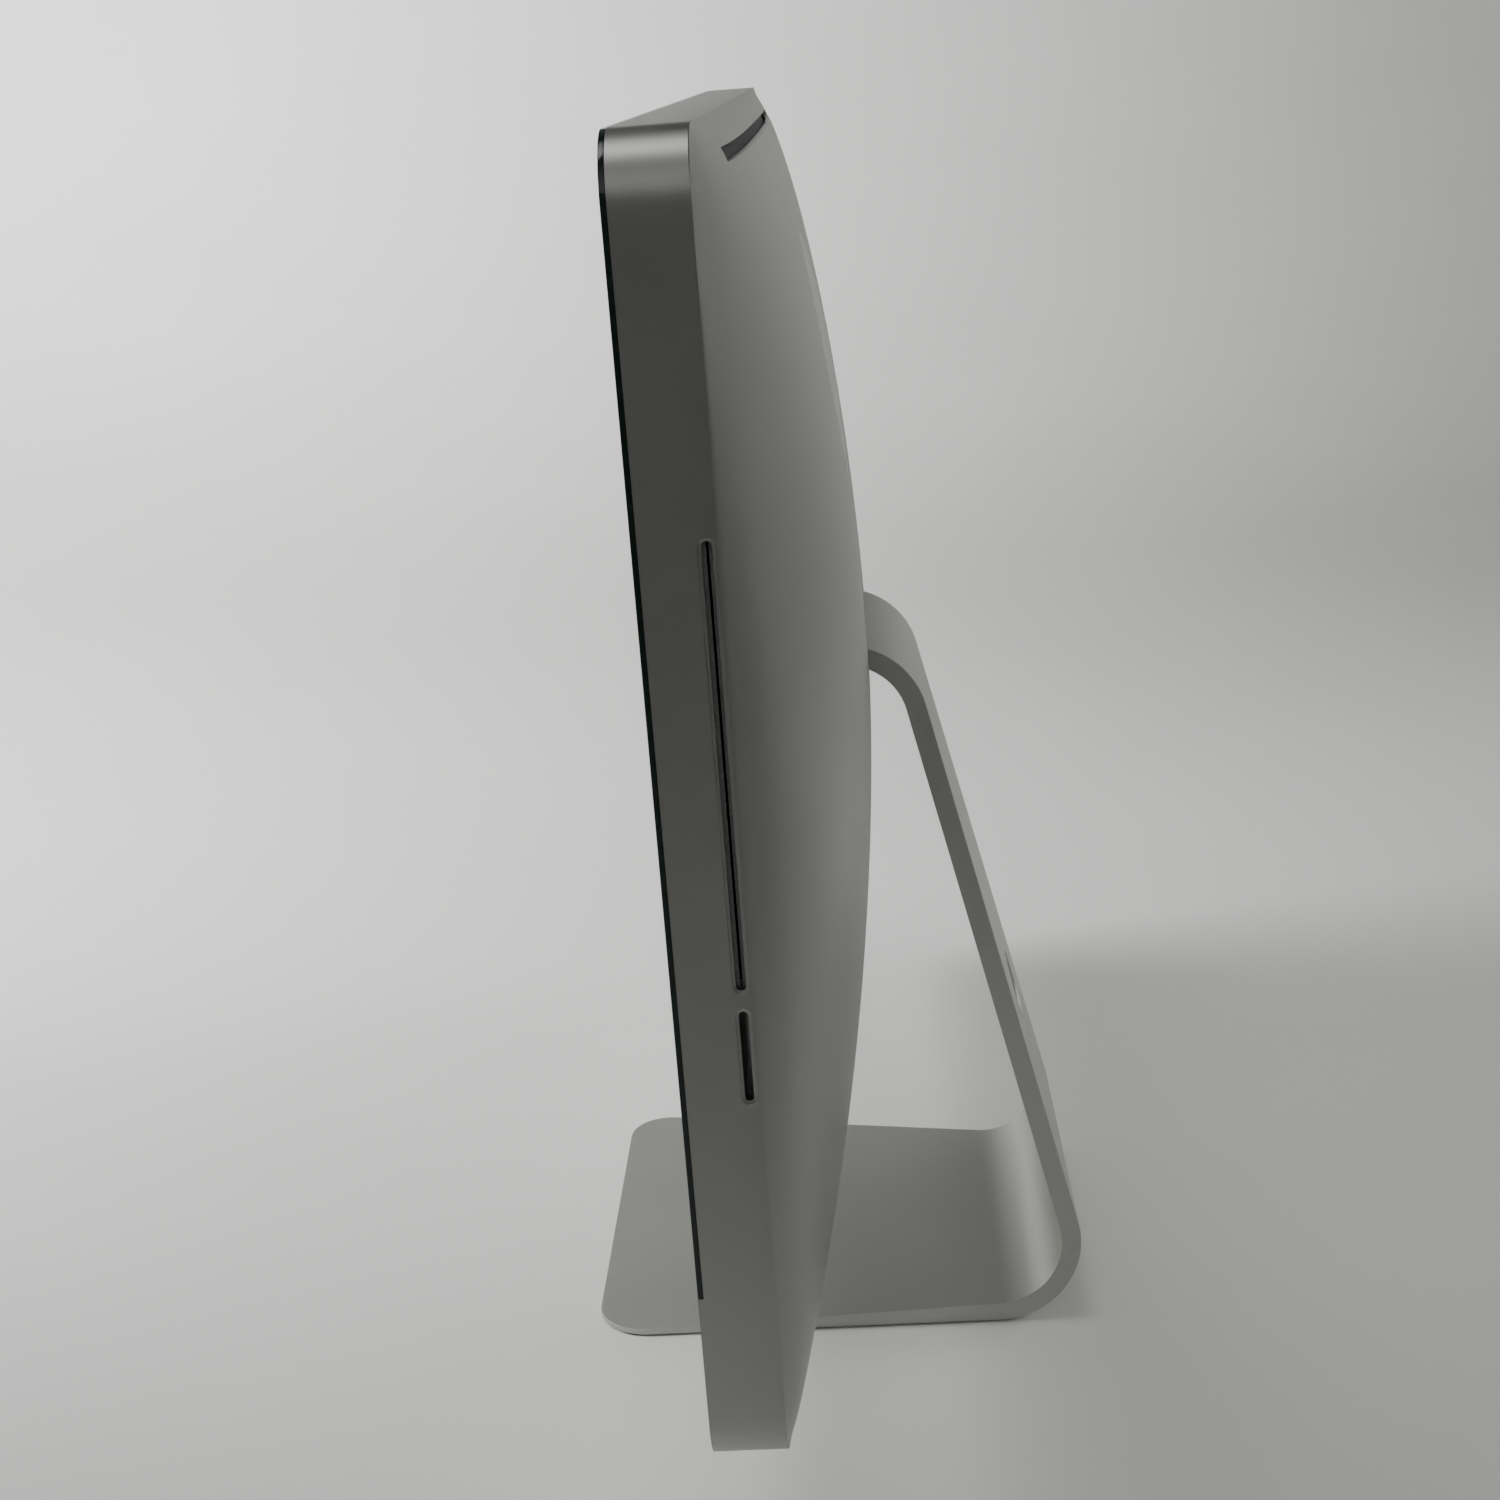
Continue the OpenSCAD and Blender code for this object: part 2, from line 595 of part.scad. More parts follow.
module power_inlet() {
    color([0.06, 0.06, 0.065]) on_display() difference() {
        deep(24, 43) round_rect([-17, 17], [inlet_z - 12, inlet_z + 12], 4.8);
        deep(28.5, 44) round_rect([-13.5, 13.5], [inlet_z - 9, inlet_z + 9], 4);
        for (p = [[-7, -2], [7, -2], [0, 3]]) box([p[0] - 1, p[0] + 1], [25, 30],
            [inlet_z + p[1] - 2, inlet_z + p[1] + 2]);
    }
}

module inlet_pins() {
    color([0.7, 0.6, 0.35]) on_display() for (p = [[-7, -2], [7, -2], [0, 3]])
        box([p[0] - 1, p[0] + 1], [25, 37.5], [inlet_z + p[1] - 2, inlet_z + p[1] + 2]);
}

// ---------- power button ----------

module power_button() {
    color([0.75, 0.76, 0.76]) on_display()
        along_skin(button_pos[0], button_pos[1], skin(button_pos[0], button_pos[1])) {
            rod(0, 0, 7.4, -1.9, -0.1);
            rod(0, 0, 2, -4.6, -1.8);
        }
}

module button_switch() {
    color([0.1, 0.1, 0.11]) on_display()
        along_skin(button_pos[0], button_pos[1], skin(button_pos[0], button_pos[1])) difference() {
            rod(0, 0, 4.5, -8.6, -3.4);
            rod(0, 0, 2 + pin_play, -6.6, -3);
        }
}

// ---------- tilt hinge ----------

module hinge_shaft() {
    color([0.55, 0.55, 0.56]) on_display() {
        xrod(hinge_d, hinge_h, shaft_r, -57, 57);
        for (x = [-57, 55]) xrod(hinge_d, hinge_h, 7, x, x + 2);
    }
}

module hinge_brackets() {
    color([0.45, 0.46, 0.47]) on_display() for (s = [-1, 1]) difference() {
        union() {
            box(s > 0 ? [50, 54] : [-54, -50], [27, 50.9], [172, 204]);
            box(s > 0 ? [50, 72] : [-72, -50], [48, 50.95], [172, 204]);
        }
        xrod(hinge_d, hinge_h, shaft_r, s > 0 ? 49 : -55, s > 0 ? 55 : -49);
        for (p = flange_list) rod(p[0], p[1], 1.8, 46, 52);
    }
}

module hinge_screws() {
    color([0.3, 0.3, 0.31]) on_display() for (p = flange_list) {
        rod(p[0], p[1], 1.65, 47, 55.5);
        rod(p[0], p[1], 3.2, 45.8, 47.95);
    }
}

module friction_washers() {
    color([0.68, 0.6, 0.4]) on_display() for (s = [-1, 1]) for (k = [0:4]) difference() {
        xrod(hinge_d, hinge_h, 8, s * (36 + 3 * k) - 1, s * (36 + 3 * k) + 1);
        xrod(hinge_d, hinge_h, shaft_r, s * (36 + 3 * k) - 2, s * (36 + 3 * k) + 2);
    }
}

// ---------- stand ----------

function plate_width(s) =
    bend_w + (neck_w - bend_w) * s / (bend_r * PI * (90 + upright_lean) / 180 + upright_l);
bend_len = bend_r * PI * (90 + upright_lean) / 180;
front_half = concat([for (k = [0:6]) let (a = -90 + (90 + upright_lean) * k / 6)
        [plate_width(bend_len * k / 6) / 2, bend_c[1] + bend_r * sin(a)]],
    [[neck_w / 2, bend_c[1] + bend_r * lean_n[1] + upright_l * lean_u[1]], [neck_w / 2, 400]]);

// ring sector in the (depth, height) plane, extruded along X
module bend_sector(c, r1, r0, a0, a1, w) {
    translate([-w / 2, c[0], c[1]]) rotate([90, 0, 90]) intersection() {
        difference() {
            cylinder(r = r1, h = w);
            translate([0, 0, -1]) cylinder(r = r0, h = w + 2);
        }
        linear_extrude(w) polygon([[0, 0], 3 * r1 * [cos(a0), sin(a0)],
            3 * r1 * [cos((a0 + a1) / 2), sin((a0 + a1) / 2)], 3 * r1 * [cos(a1), sin(a1)]]);
    }
}

module stand_plate() {
    w = foot_w + 4;
    bend_0 = bend_c + (bend_r - plate_t) * lean_n;
    color([0.74, 0.75, 0.74]) difference() {
        union() {
            // foot, thin at the toe
            intersection() {
                across(-w / 2, w / 2) polygon([[foot_y0, pad_t], [bend_c[0], pad_t],
                    [bend_c[0], pad_t + plate_t], [foot_y0, pad_t + toe_t]]);
                linear_extrude(60) difference() {
                    polygon([[-foot_w / 2, foot_y0], [foot_w / 2, foot_y0], [bend_w / 2, bend_c[0]],
                        [-bend_w / 2, bend_c[0]]]);
                    for (s = [-1, 1]) translate([s * (foot_w / 2 - 20.5), foot_y0 + 20]) difference() {
                        translate([s > 0 ? 0 : -30, -30]) square([30, 30]);
                        circle(r = 20);
                    }
                }
            }
            // lower bend and upright, tapering to the neck
            intersection() {
                union() {
                    bend_sector(bend_c, bend_r, bend_r - plate_t, -90, upright_lean, w);
                    translate([-w / 2, bend_0[0], bend_0[1]]) rotate([upright_lean, 0, 0])
                        cube([w, plate_t, upright_l]);
                    bend_sector(top_c, bend_r, bend_r - plate_t, upright_lean, 90, w);
                    box([-w / 2, w / 2], [top_c[0] - 5.3, top_c[0] + 0.1],
                        [hinge_z - plate_t / 2, hinge_z + plate_t / 2]);
                }
                translate([0, 200, 0]) rotate([90, 0, 0]) linear_extrude(400)
                    polygon(concat(front_half, [for (k = [len(front_half) - 1:-1:0])
                        [-front_half[k][0], front_half[k][1]]]));
            }
        }
        translate([0, bend_0[0], bend_0[1]]) rotate([upright_lean, 0, 0])
            translate([0, -1, hole_s]) rotate([-90, 0, 0]) cylinder(r = hole_r, h = plate_t + 2);
        for (x = [-26, -10, 10, 26]) translate([x, hinge_y + 12.2, hinge_z - 2]) cylinder(r = 1.55, h = 8);
    }
}

module foot_pad() {
    color([0.12, 0.12, 0.125]) linear_extrude(pad_t) difference() {
        polygon([[-foot_w / 2 + 1.5, foot_y0 + 1.5], [foot_w / 2 - 1.5, foot_y0 + 1.5],
            [bend_w / 2 - 1.5, bend_c[0]], [-bend_w / 2 + 1.5, bend_c[0]]]);
        for (s = [-1, 1]) translate([s * (foot_w / 2 - 20.5), foot_y0 + 20]) difference() {
            translate([s > 0 ? 0 : -30, -30]) square([30, 30]);
            circle(r = 18.5);
        }
    }
}

module hinge_body() {
    color([0.4, 0.41, 0.42]) translate([0, hinge_y, hinge_z]) difference() {
        union() {
            xrod(0, 0, 8.5, -34, 34);
            box([-34, 34], [0, 15.4], [plate_t / 2 + 0.02, 7.1]);
        }
        xrod(0, 0, shaft_r + shaft_play, -35, 35);
        for (x = [-26, -10, 10, 26]) translate([x, 12.2, 0]) cylinder(r = 1.6, h = 8);
    }
}

module stand_screws() {
    color([0.3, 0.3, 0.31]) translate([0, hinge_y, hinge_z]) for (x = [-26, -10, 10, 26])
        translate([x, 12.2, 0]) {
            translate([0, 0, -1.9]) cylinder(r = 1.5, h = 9.2);
            translate([0, 0, 7.12]) cylinder(r = 2.8, h = 1.4);
        }
}

module neck_shield() {
    color([0.1, 0.1, 0.105]) translate([0, hinge_y, hinge_z]) difference() {
        bend_sector([0, 0], 19.2, 18, -52, 54, 97);
        box([-neck_w / 2 - 0.2, neck_w / 2 + 0.2], [10, 25], [-7.6, 4.2]);
    }
}

// ---------- placement ----------

rear_housing();
front_glass();
glass_magnets();
lcd_panel();
lcd_screen();
panel_brackets();
panel_screws();
camera_board();
camera_lens();
antenna_window();
vent_fins();
slot_felt();
optical_drive();
drive_spindle();
card_reader();
hard_drive();
hdd_brackets();
power_supply();
logic_board();
board_screws();
cpu_heatsink();
gpu_heatsink();
memory_slot();
memory_modules();
memory_door();
door_screws();
wireless_card();
speaker_left();
speaker_right();
hdd_fan_frame();
hdd_impeller();
odd_fan_frame();
odd_impeller();
cpu_fan_frame();
cpu_impeller();
audio_jacks();
data_ports();
bus_port();
video_port();
network_port();
power_inlet();
inlet_pins();
power_button();
button_switch();
hinge_shaft();
hinge_brackets();
hinge_screws();
friction_washers();
stand_plate();
foot_pad();
hinge_body();
stand_screws();
neck_shield();
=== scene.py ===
"""Looks of an aluminium all-in-one desktop computer on a bent plate stand.

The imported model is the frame. Display pieces are drawn upright in millimetres, with y = 0 on
the glass and z = 0 on the lower edge, and then seated on the tilt hinge.
"""

import itertools
import json
import logging
import math
from dataclasses import dataclass, field
from enum import Enum
from typing import Callable, Iterable, Sequence

import bmesh
import bpy
from mathutils import Matrix, Vector


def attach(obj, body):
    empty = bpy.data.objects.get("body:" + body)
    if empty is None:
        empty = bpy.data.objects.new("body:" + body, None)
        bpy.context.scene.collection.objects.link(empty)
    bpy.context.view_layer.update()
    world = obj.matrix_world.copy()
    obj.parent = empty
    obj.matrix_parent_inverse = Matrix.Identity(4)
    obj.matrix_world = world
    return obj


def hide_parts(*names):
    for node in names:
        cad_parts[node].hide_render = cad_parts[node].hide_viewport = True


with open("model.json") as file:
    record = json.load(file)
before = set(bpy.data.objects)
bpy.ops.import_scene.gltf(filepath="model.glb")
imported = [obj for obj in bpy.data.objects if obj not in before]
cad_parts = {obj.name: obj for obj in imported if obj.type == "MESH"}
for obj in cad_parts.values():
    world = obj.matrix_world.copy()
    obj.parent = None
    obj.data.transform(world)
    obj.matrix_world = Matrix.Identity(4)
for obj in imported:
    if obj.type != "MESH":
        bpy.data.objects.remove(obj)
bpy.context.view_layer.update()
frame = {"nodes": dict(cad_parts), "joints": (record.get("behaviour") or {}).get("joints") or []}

LOG = logging.getLogger("all_in_one")
MM = 0.001
NOISE_SPAN = (0.3, 0.7)  # where nearly all of a noise pattern lies
CREASE = math.radians(32.0)
SLIGHT_TURN = math.radians(4.0)
SLIVER = 80.0  # how many times smaller than its neighbour a sliver is

Mesh = bmesh.types.BMesh
Ring = list[bmesh.types.BMEdge]
Place = Callable[[Vector], Vector]
Section = tuple[float, Vector, Vector]
Span = tuple[float, float]
Triple = tuple[float, float, float]
Color = Triple
Box = tuple[Span, Span, Span]


class Body(str, Enum):
    """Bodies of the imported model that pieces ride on."""

    STAND = "stand"
    DISPLAY = "display"
    BUTTON = "power_button"


# ---------------------------------------------------------------- materials


class Graph:
    """Small wrapper round one material's node tree."""

    def __init__(self, name: str) -> None:
        """Make an empty material.

        Args:
            name: name of the material.
        """
        self.material = bpy.data.materials.new(name)
        self.material.use_nodes = True
        self.tree = self.material.node_tree
        self.tree.nodes.clear()
        self.output = self.tree.nodes.new("ShaderNodeOutputMaterial")
        self.shader = self.tree.nodes.new("ShaderNodeBsdfPrincipled")
        self.join(self.shader, "BSDF", self.output, "Surface")
        self.place = self.tree.nodes.new("ShaderNodeTexCoord")

    def join(self, a: bpy.types.Node, out: str | int, b: bpy.types.Node, into: str | int) -> None:
        """Link one socket to another."""
        self.tree.links.new(a.outputs[out], b.inputs[into])

    def noise(self, scale: float, detail: float, rough: float = 0.5,
              stretch: tuple[float, float, float] = (1.0, 1.0, 1.0)) -> bpy.types.Node:
        """Add a noise pattern on Object coordinates.

        Args:
            scale: cells per metre.
            detail: octaves.
            rough: weight of the fine octaves.
            stretch: scale along each axis.

        Returns:
            The noise node.
        """
        turn = self.tree.nodes.new("ShaderNodeMapping")
        turn.inputs["Scale"].default_value = stretch
        self.join(self.place, "Object", turn, "Vector")
        node = self.tree.nodes.new("ShaderNodeTexNoise")
        node.inputs["Scale"].default_value = scale
        node.inputs["Detail"].default_value = detail
        node.inputs["Roughness"].default_value = rough
        self.join(turn, "Vector", node, "Vector")
        return node

    def ramp(self, source: bpy.types.Node, out: str, low: Sequence[float], high: Sequence[float],
             span: Span = NOISE_SPAN) -> bpy.types.Node:
        """Map a pattern to a colour range.

        Args:
            source: node that gives the factor.
            out: name of its output.
            low: colour at the low end.
            high: colour at the high end.
            span: factors where the two colours are reached.

        Returns:
            The ramp node.
        """
        node = self.tree.nodes.new("ShaderNodeValToRGB")
        node.color_ramp.elements[0].position = span[0]
        node.color_ramp.elements[1].position = span[1]
        node.color_ramp.elements[0].color = (*low[:3], 1.0)
        node.color_ramp.elements[1].color = (*high[:3], 1.0)
        self.join(source, out, node, "Fac")
        return node

    def spread(self, source: bpy.types.Node, out: str, low: float, high: float) -> bpy.types.Node:
        """Map a pattern to a plain number range.

        Args:
            source: node that gives the factor.
            out: name of its output.
            low: number at the low end.
            high: number at the high end.

        Returns:
            The range node.
        """
        node = self.tree.nodes.new("ShaderNodeMapRange")
        sockets = ("From Min", "From Max", "To Min", "To Max")
        for socket, value in zip(sockets, (*NOISE_SPAN, low, high)):
            node.inputs[socket].default_value = value
        self.join(source, out, node, "Value")
        return node

    def bump(self, source: bpy.types.Node, out: str, strength: float, depth: float) -> None:
        """Raise the surface by a pattern.

        Args:
            source: node that gives the height.
            out: name of its output.
            strength: weight from 0 to 1.
            depth: height in metres.
        """
        node = self.tree.nodes.new("ShaderNodeBump")
        node.inputs["Strength"].default_value = strength
        node.inputs["Distance"].default_value = depth
        self.join(source, out, node, "Height")
        self.join(node, "Normal", self.shader, "Normal")

    def set(self, **values: float | tuple[float, ...]) -> None:
        """Set shader sockets by name, with underscores for spaces."""
        for key, value in values.items():
            self.shader.inputs[key.replace("_", " ")].default_value = value


def shade(color: Sequence[float], by: float) -> Color:
    """Scale a colour's brightness."""
    return tuple(min(1.0, c * by) for c in color[:3])


@dataclass(frozen=True)
class Metal:
    """Blasted or brushed metal with a fine grain and faint handling marks."""

    name: str
    color: Color
    rough: float = 0.4
    spread: float = 0.05
    grain: float = 1600.0
    depth: float = 0.00002
    metallic: float = 1.0
    stretch: tuple[float, float, float] = (1.0, 1.0, 1.0)
    marks: float = 0.06

    def build(self) -> bpy.types.Material:
        """Make the material.

        Returns:
            The material.
        """
        g = Graph(self.name)
        broad = g.noise(7.0, 5.0, 0.6)
        fine = g.noise(self.grain, 3.0, 0.6, self.stretch)
        tint = g.ramp(broad, "Fac", shade(self.color, 1 - self.marks), shade(self.color, 1 + self.marks / 2))
        g.join(tint, "Color", g.shader, "Base Color")
        gloss = g.spread(broad, "Fac", self.rough - self.spread, self.rough + self.spread)
        g.join(gloss, "Result", g.shader, "Roughness")
        g.bump(fine, "Fac", 0.35, self.depth)
        g.set(Metallic=self.metallic)
        return g.material


@dataclass(frozen=True)
class Plastic:
    """Moulded plastic or rubber with a fine texture."""

    name: str
    color: Color
    rough: float = 0.5
    grain: float = 1200.0
    depth: float = 0.00003
    coat: float = 0.0
    mottle: float = 0.15

    def build(self) -> bpy.types.Material:
        """Make the material.

        Returns:
            The material.
        """
        g = Graph(self.name)
        broad = g.noise(22.0, 4.0)
        fine = g.noise(self.grain, 2.0, 0.6)
        tint = g.ramp(broad, "Fac", shade(self.color, 1 - self.mottle), shade(self.color, 1 + self.mottle))
        g.join(tint, "Color", g.shader, "Base Color")
        gloss = g.spread(broad, "Fac", self.rough - 0.05, self.rough + 0.05)
        g.join(gloss, "Result", g.shader, "Roughness")
        g.bump(fine, "Fac", 0.4, self.depth)
        g.set(Coat_Weight=self.coat, Coat_Roughness=0.08)
        return g.material


@dataclass(frozen=True)
class Gloss:
    """Polished glass or lacquer over a dark backing, with faint wiping marks."""

    name: str
    color: Color
    rough: float = 0.05
    ior: float = 1.5
    coat: float = 0.0

    def build(self) -> bpy.types.Material:
        """Make the material.

        Returns:
            The material.
        """
        g = Graph(self.name)
        broad = g.noise(5.0, 6.0, 0.65, (1.0, 1.0, 2.2))
        tint = g.ramp(broad, "Fac", self.color, shade(self.color, 1.25))
        g.join(tint, "Color", g.shader, "Base Color")
        gloss = g.spread(broad, "Fac", self.rough, self.rough + 0.035)
        g.join(gloss, "Result", g.shader, "Roughness")
        g.set(IOR=self.ior, Coat_Weight=self.coat, Coat_Roughness=0.03)
        return g.material


@dataclass(frozen=True)
class Felt:
    """Short dark pile."""

    name: str
    color: Color

    def build(self) -> bpy.types.Material:
        """Make the material.

        Returns:
            The material.
        """
        g = Graph(self.name)
        pile = g.noise(2600.0, 4.0, 0.75)
        tint = g.ramp(pile, "Fac", shade(self.color, 0.5), shade(self.color, 1.5))
        g.join(tint, "Color", g.shader, "Base Color")
        g.bump(pile, "Fac", 0.8, 0.0002)
        g.set(Roughness=0.95, Sheen_Weight=0.4)
        return g.material


@dataclass(frozen=True)
class Gauze:
    """Fine dark woven mesh."""

    name: str
    color: Color

    def build(self) -> bpy.types.Material:
        """Make the material.

        Returns:
            The material.
        """
        g = Graph(self.name)
        cells = g.tree.nodes.new("ShaderNodeTexVoronoi")
        cells.inputs["Scale"].default_value = 1500.0
        g.join(g.place, "Object", cells, "Vector")
        tint = g.ramp(cells, "Distance", shade(self.color, 0.2), shade(self.color, 2.2), (0.2, 0.6))
        g.join(tint, "Color", g.shader, "Base Color")
        g.bump(cells, "Distance", 0.7, 0.0003)
        g.set(Roughness=0.6, Metallic=0.3)
        return g.material


@dataclass(frozen=True)
class Laminate:
    """Circuit board with solder mask over copper tracks."""

    name: str
    color: Color

    def build(self) -> bpy.types.Material:
        """Make the material.

        Returns:
            The material.
        """
        g = Graph(self.name)
        cells = g.tree.nodes.new("ShaderNodeTexBrick")
        for key, value in {"Scale": 220.0, "Mortar Size": 0.06, "Brick Width": 1.4, "Row Height": 0.35}.items():
            cells.inputs[key].default_value = value
        turn = g.tree.nodes.new("ShaderNodeMapping")
        turn.inputs["Rotation"].default_value = (math.pi / 2, 0.0, 0.0)
        g.join(g.place, "Object", turn, "Vector")
        g.join(turn, "Vector", cells, "Vector")
        tint = g.ramp(cells, "Fac", self.color, shade(self.color, 2.0), (0.0, 1.0))
        g.join(tint, "Color", g.shader, "Base Color")
        g.bump(cells, "Fac", 0.5, 0.00005)
        g.set(Roughness=0.35, Coat_Weight=0.3)
        return g.material


FINISHES = {
    "case": Metal("case_satin", (0.350, 0.350, 0.334), 0.42, 0.03),
    "stand": Metal("stand_satin", (0.475, 0.479, 0.453), 0.50, 0.03),
    "trim": Metal("bright_trim", (0.72, 0.72, 0.70), 0.28, 0.04),
    "steel": Metal("plated_steel", (0.52, 0.52, 0.52), 0.34, 0.06, 500.0, 0.00003, 1.0, (1.0, 1.0, 14.0)),
    "cast": Metal("cast_bracket", (0.22, 0.22, 0.225), 0.55, 0.06, 600.0, 0.0001),
    "screw": Metal("screw_steel", (0.30, 0.30, 0.31), 0.35, 0.06, 900.0),
    "fins": Metal("fin_aluminium", (0.62, 0.63, 0.64), 0.35, 0.05, 700.0),
    "copper": Metal("copper_block", (0.72, 0.40, 0.24), 0.33, 0.05, 700.0),
    "brass": Metal("brass_contact", (0.74, 0.58, 0.30), 0.30, 0.05, 700.0),
    "glass": Gloss("black_glass", (0.0022, 0.0024, 0.0026), 0.03),
    "glass_edge": Gloss("glass_edge", (0.0035, 0.0120, 0.0090), 0.12),
    "screen": Gloss("unlit_screen", (0.0085, 0.0088, 0.0098), 0.05),
    "window": Gloss("window_lacquer", (0.0045, 0.0045, 0.0048), 0.24, 1.4),
    "black": Plastic("black_moulding", (0.018, 0.018, 0.019), 0.45),
    "grey": Plastic("grey_moulding", (0.12, 0.12, 0.125), 0.5),
    "panel": Plastic("panel_frame", (0.33, 0.34, 0.35), 0.45),
    "rubber": Plastic("pad_rubber", (0.035, 0.035, 0.036), 0.8, 800.0, 0.00008),
    "felt": Felt("slot_pile", (0.22, 0.22, 0.222)),
    "gauze": Gauze("vent_gauze", (0.020, 0.020, 0.021)),
    "board": Laminate("board_mask", (0.012, 0.075, 0.030)),
}
CAD_FINISH = {
    "steel": ("optical_drive", "card_reader", "hdd_brackets", "power_supply", "panel_brackets", "hinge_shaft",
              "glass_magnets", "data_ports", "bus_port", "video_port", "network_port"),
    "cast": ("hinge_brackets", "hinge_body"),
    "screw": ("panel_screws", "board_screws", "door_screws", "hinge_screws", "stand_screws"),
    "fins": ("hard_drive", "cpu_heatsink"),
    "copper": ("gpu_heatsink",),
    "brass": ("inlet_pins", "friction_washers"),
    "panel": ("lcd_panel",),
    "screen": ("lcd_screen", "camera_lens"),
    "board": ("logic_board", "camera_board", "memory_modules", "wireless_card"),
    "black": ("vent_fins", "memory_slot", "speaker_left", "speaker_right", "audio_jacks", "power_inlet",
              "button_switch", "neck_shield", "drive_spindle", "hdd_fan_frame", "odd_fan_frame", "cpu_fan_frame"),
    "grey": ("hdd_impeller", "odd_impeller", "cpu_impeller"),
    "rubber": ("foot_pad",),
    "felt": ("slot_felt",),
}


class Paintbox:
    """Builds each finish once and dresses the carried-over CAD nodes."""

    def __init__(self) -> None:
        """Start with nothing built."""
        self.built: dict[str, bpy.types.Material] = {}

    def get(self, key: str) -> bpy.types.Material:
        """Look a finish up, and build it on first use.

        Args:
            key: name of the finish.

        Returns:
            The finish's material.
        """
        if key not in self.built:
            self.built[key] = FINISHES[key].build()
        return self.built[key]

    def dress(self, nodes: dict[str, bpy.types.Object]) -> None:
        """Give every carried-over node its finish.

        Args:
            nodes: the frame's nodes by name.
        """
        for key, names in CAD_FINISH.items():
            for name in names:
                if name not in nodes:
                    LOG.warning("no node %s", name)
                    continue
                mesh = nodes[name].data
                mesh.materials.clear()
                mesh.materials.append(self.get(key))
        LOG.info("dressed %d node groups", len(CAD_FINISH))


# ---------------------------------------------------------------- mesh helpers


def ring_verts(edges: Iterable[bmesh.types.BMEdge]) -> list[bmesh.types.BMVert]:
    """Return the vertices of a set of edges, each once."""
    return list(dict.fromkeys(v for e in edges for v in e.verts))


def grow(bm: Mesh, edges: Ring, place: Place) -> Ring:
    """Extrude a closed ring of edges once.

    Args:
        bm: mesh that holds the ring.
        edges: the ring.
        place: where each new vertex goes, given its old place.

    Returns:
        The new ring.
    """
    made = bmesh.ops.extrude_edge_only(bm, edges=edges)["geom"]
    verts = {g for g in made if isinstance(g, bmesh.types.BMVert)}
    for v in verts:
        v.co = place(v.co.copy())
    return [g for g in made if isinstance(g, bmesh.types.BMEdge) and set(g.verts) <= verts]


def cap(bm: Mesh, edges: Ring) -> None:
    """Close a flat ring with one face."""
    bmesh.ops.contextual_create(bm, geom=edges)


def pole(bm: Mesh, edges: Ring) -> None:
    """Draw a small ring together to its middle.

    Args:
        bm: mesh that holds the ring.
        edges: the ring.
    """
    verts = ring_verts(edges)
    middle = sum((v.co for v in verts), Vector()) / len(verts)
    bmesh.ops.pointmerge(bm, verts=verts, merge_co=middle)


def rounded_ring(bm: Mesh, width: float, height: float, radius: float, pitch: float,
                 steps: int = 12) -> Ring:
    """Make a ring of edges round a rectangle with round corners, in the x-z plane, centred.

    Args:
        bm: mesh that takes the ring.
        width: size along x.
        height: size along z.
        radius: corner radius.
        pitch: longest edge on the straight sides.
        steps: edges in each corner.

    Returns:
        The ring's edges.
    """
    made = bmesh.ops.create_grid(bm, x_segments=1, y_segments=1, size=0.5)["verts"]
    bmesh.ops.scale(bm, verts=made, vec=(width, height, 1.0))
    bmesh.ops.rotate(bm, verts=made, matrix=Matrix.Rotation(math.pi / 2, 3, "X"))
    bmesh.ops.bevel(bm, geom=made, offset=radius, offset_type="OFFSET", segments=steps, profile=0.5,
                    affect="VERTICES", material=-1, clamp_overlap=True)
    bmesh.ops.delete(bm, geom=list(bm.faces), context="FACES_ONLY")
    for axis in (0, 2):
        sides = [e for e in bm.edges if abs(e.verts[0].co[axis] - e.verts[1].co[axis]) > pitch]
        if sides:
            cuts = int(sides[0].calc_length() / pitch)
            bmesh.ops.subdivide_edges(bm, edges=sides, cuts=cuts)
    return list(bm.edges)


def round_ring(bm: Mesh, radius: float, segments: int, y: float = 0.0) -> Ring:
    """Make a circle of edges round the y axis.

    Args:
        bm: mesh that takes the ring.
        radius: radius of the circle.
        segments: edges in it.
        y: depth of the circle.

    Returns:
        The ring's edges.
    """
    made = bmesh.ops.create_circle(bm, cap_ends=False, segments=segments, radius=radius)["verts"]
    bmesh.ops.rotate(bm, verts=made, matrix=Matrix.Rotation(math.pi / 2, 3, "X"))
    for v in made:
        v.co.y = y
    return list(bm.edges)


def ring_shares(steps: Iterable[int], count: int, power: float, reach: float) -> list[float]:
    """Return the sizes of rings that are close together near the outline and wide apart inside."""
    return [1.0 - (k / count) ** power * reach for k in steps]


def at_radius(radius: float, y: float) -> Place:
    """Return the rule that puts a point at a radius and depth on the y axis."""
    return lambda c: Vector((c.x, 0, c.z)).normalized() * radius + Vector((0, y, 0))


def turned(form: Sequence[Span], segments: int) -> tuple[Mesh, Ring]:
    """Make a turned form on the y axis, closed at its start.

    Args:
        form: radius and depth of each ring.
        segments: edges in each ring.

    Returns:
        The mesh and its last ring.
    """
    bm = bmesh.new()
    ring = round_ring(bm, form[0][0], segments, form[0][1])
    cap(bm, ring)
    for radius, y in form[1:]:
        ring = grow(bm, ring, at_radius(radius, y))
    return bm, ring


def shift(bm: Mesh, verts: Iterable[bmesh.types.BMVert], by: Sequence[float]) -> None:
    """Move vertices by a step."""
    bmesh.ops.translate(bm, verts=list(verts), vec=by)


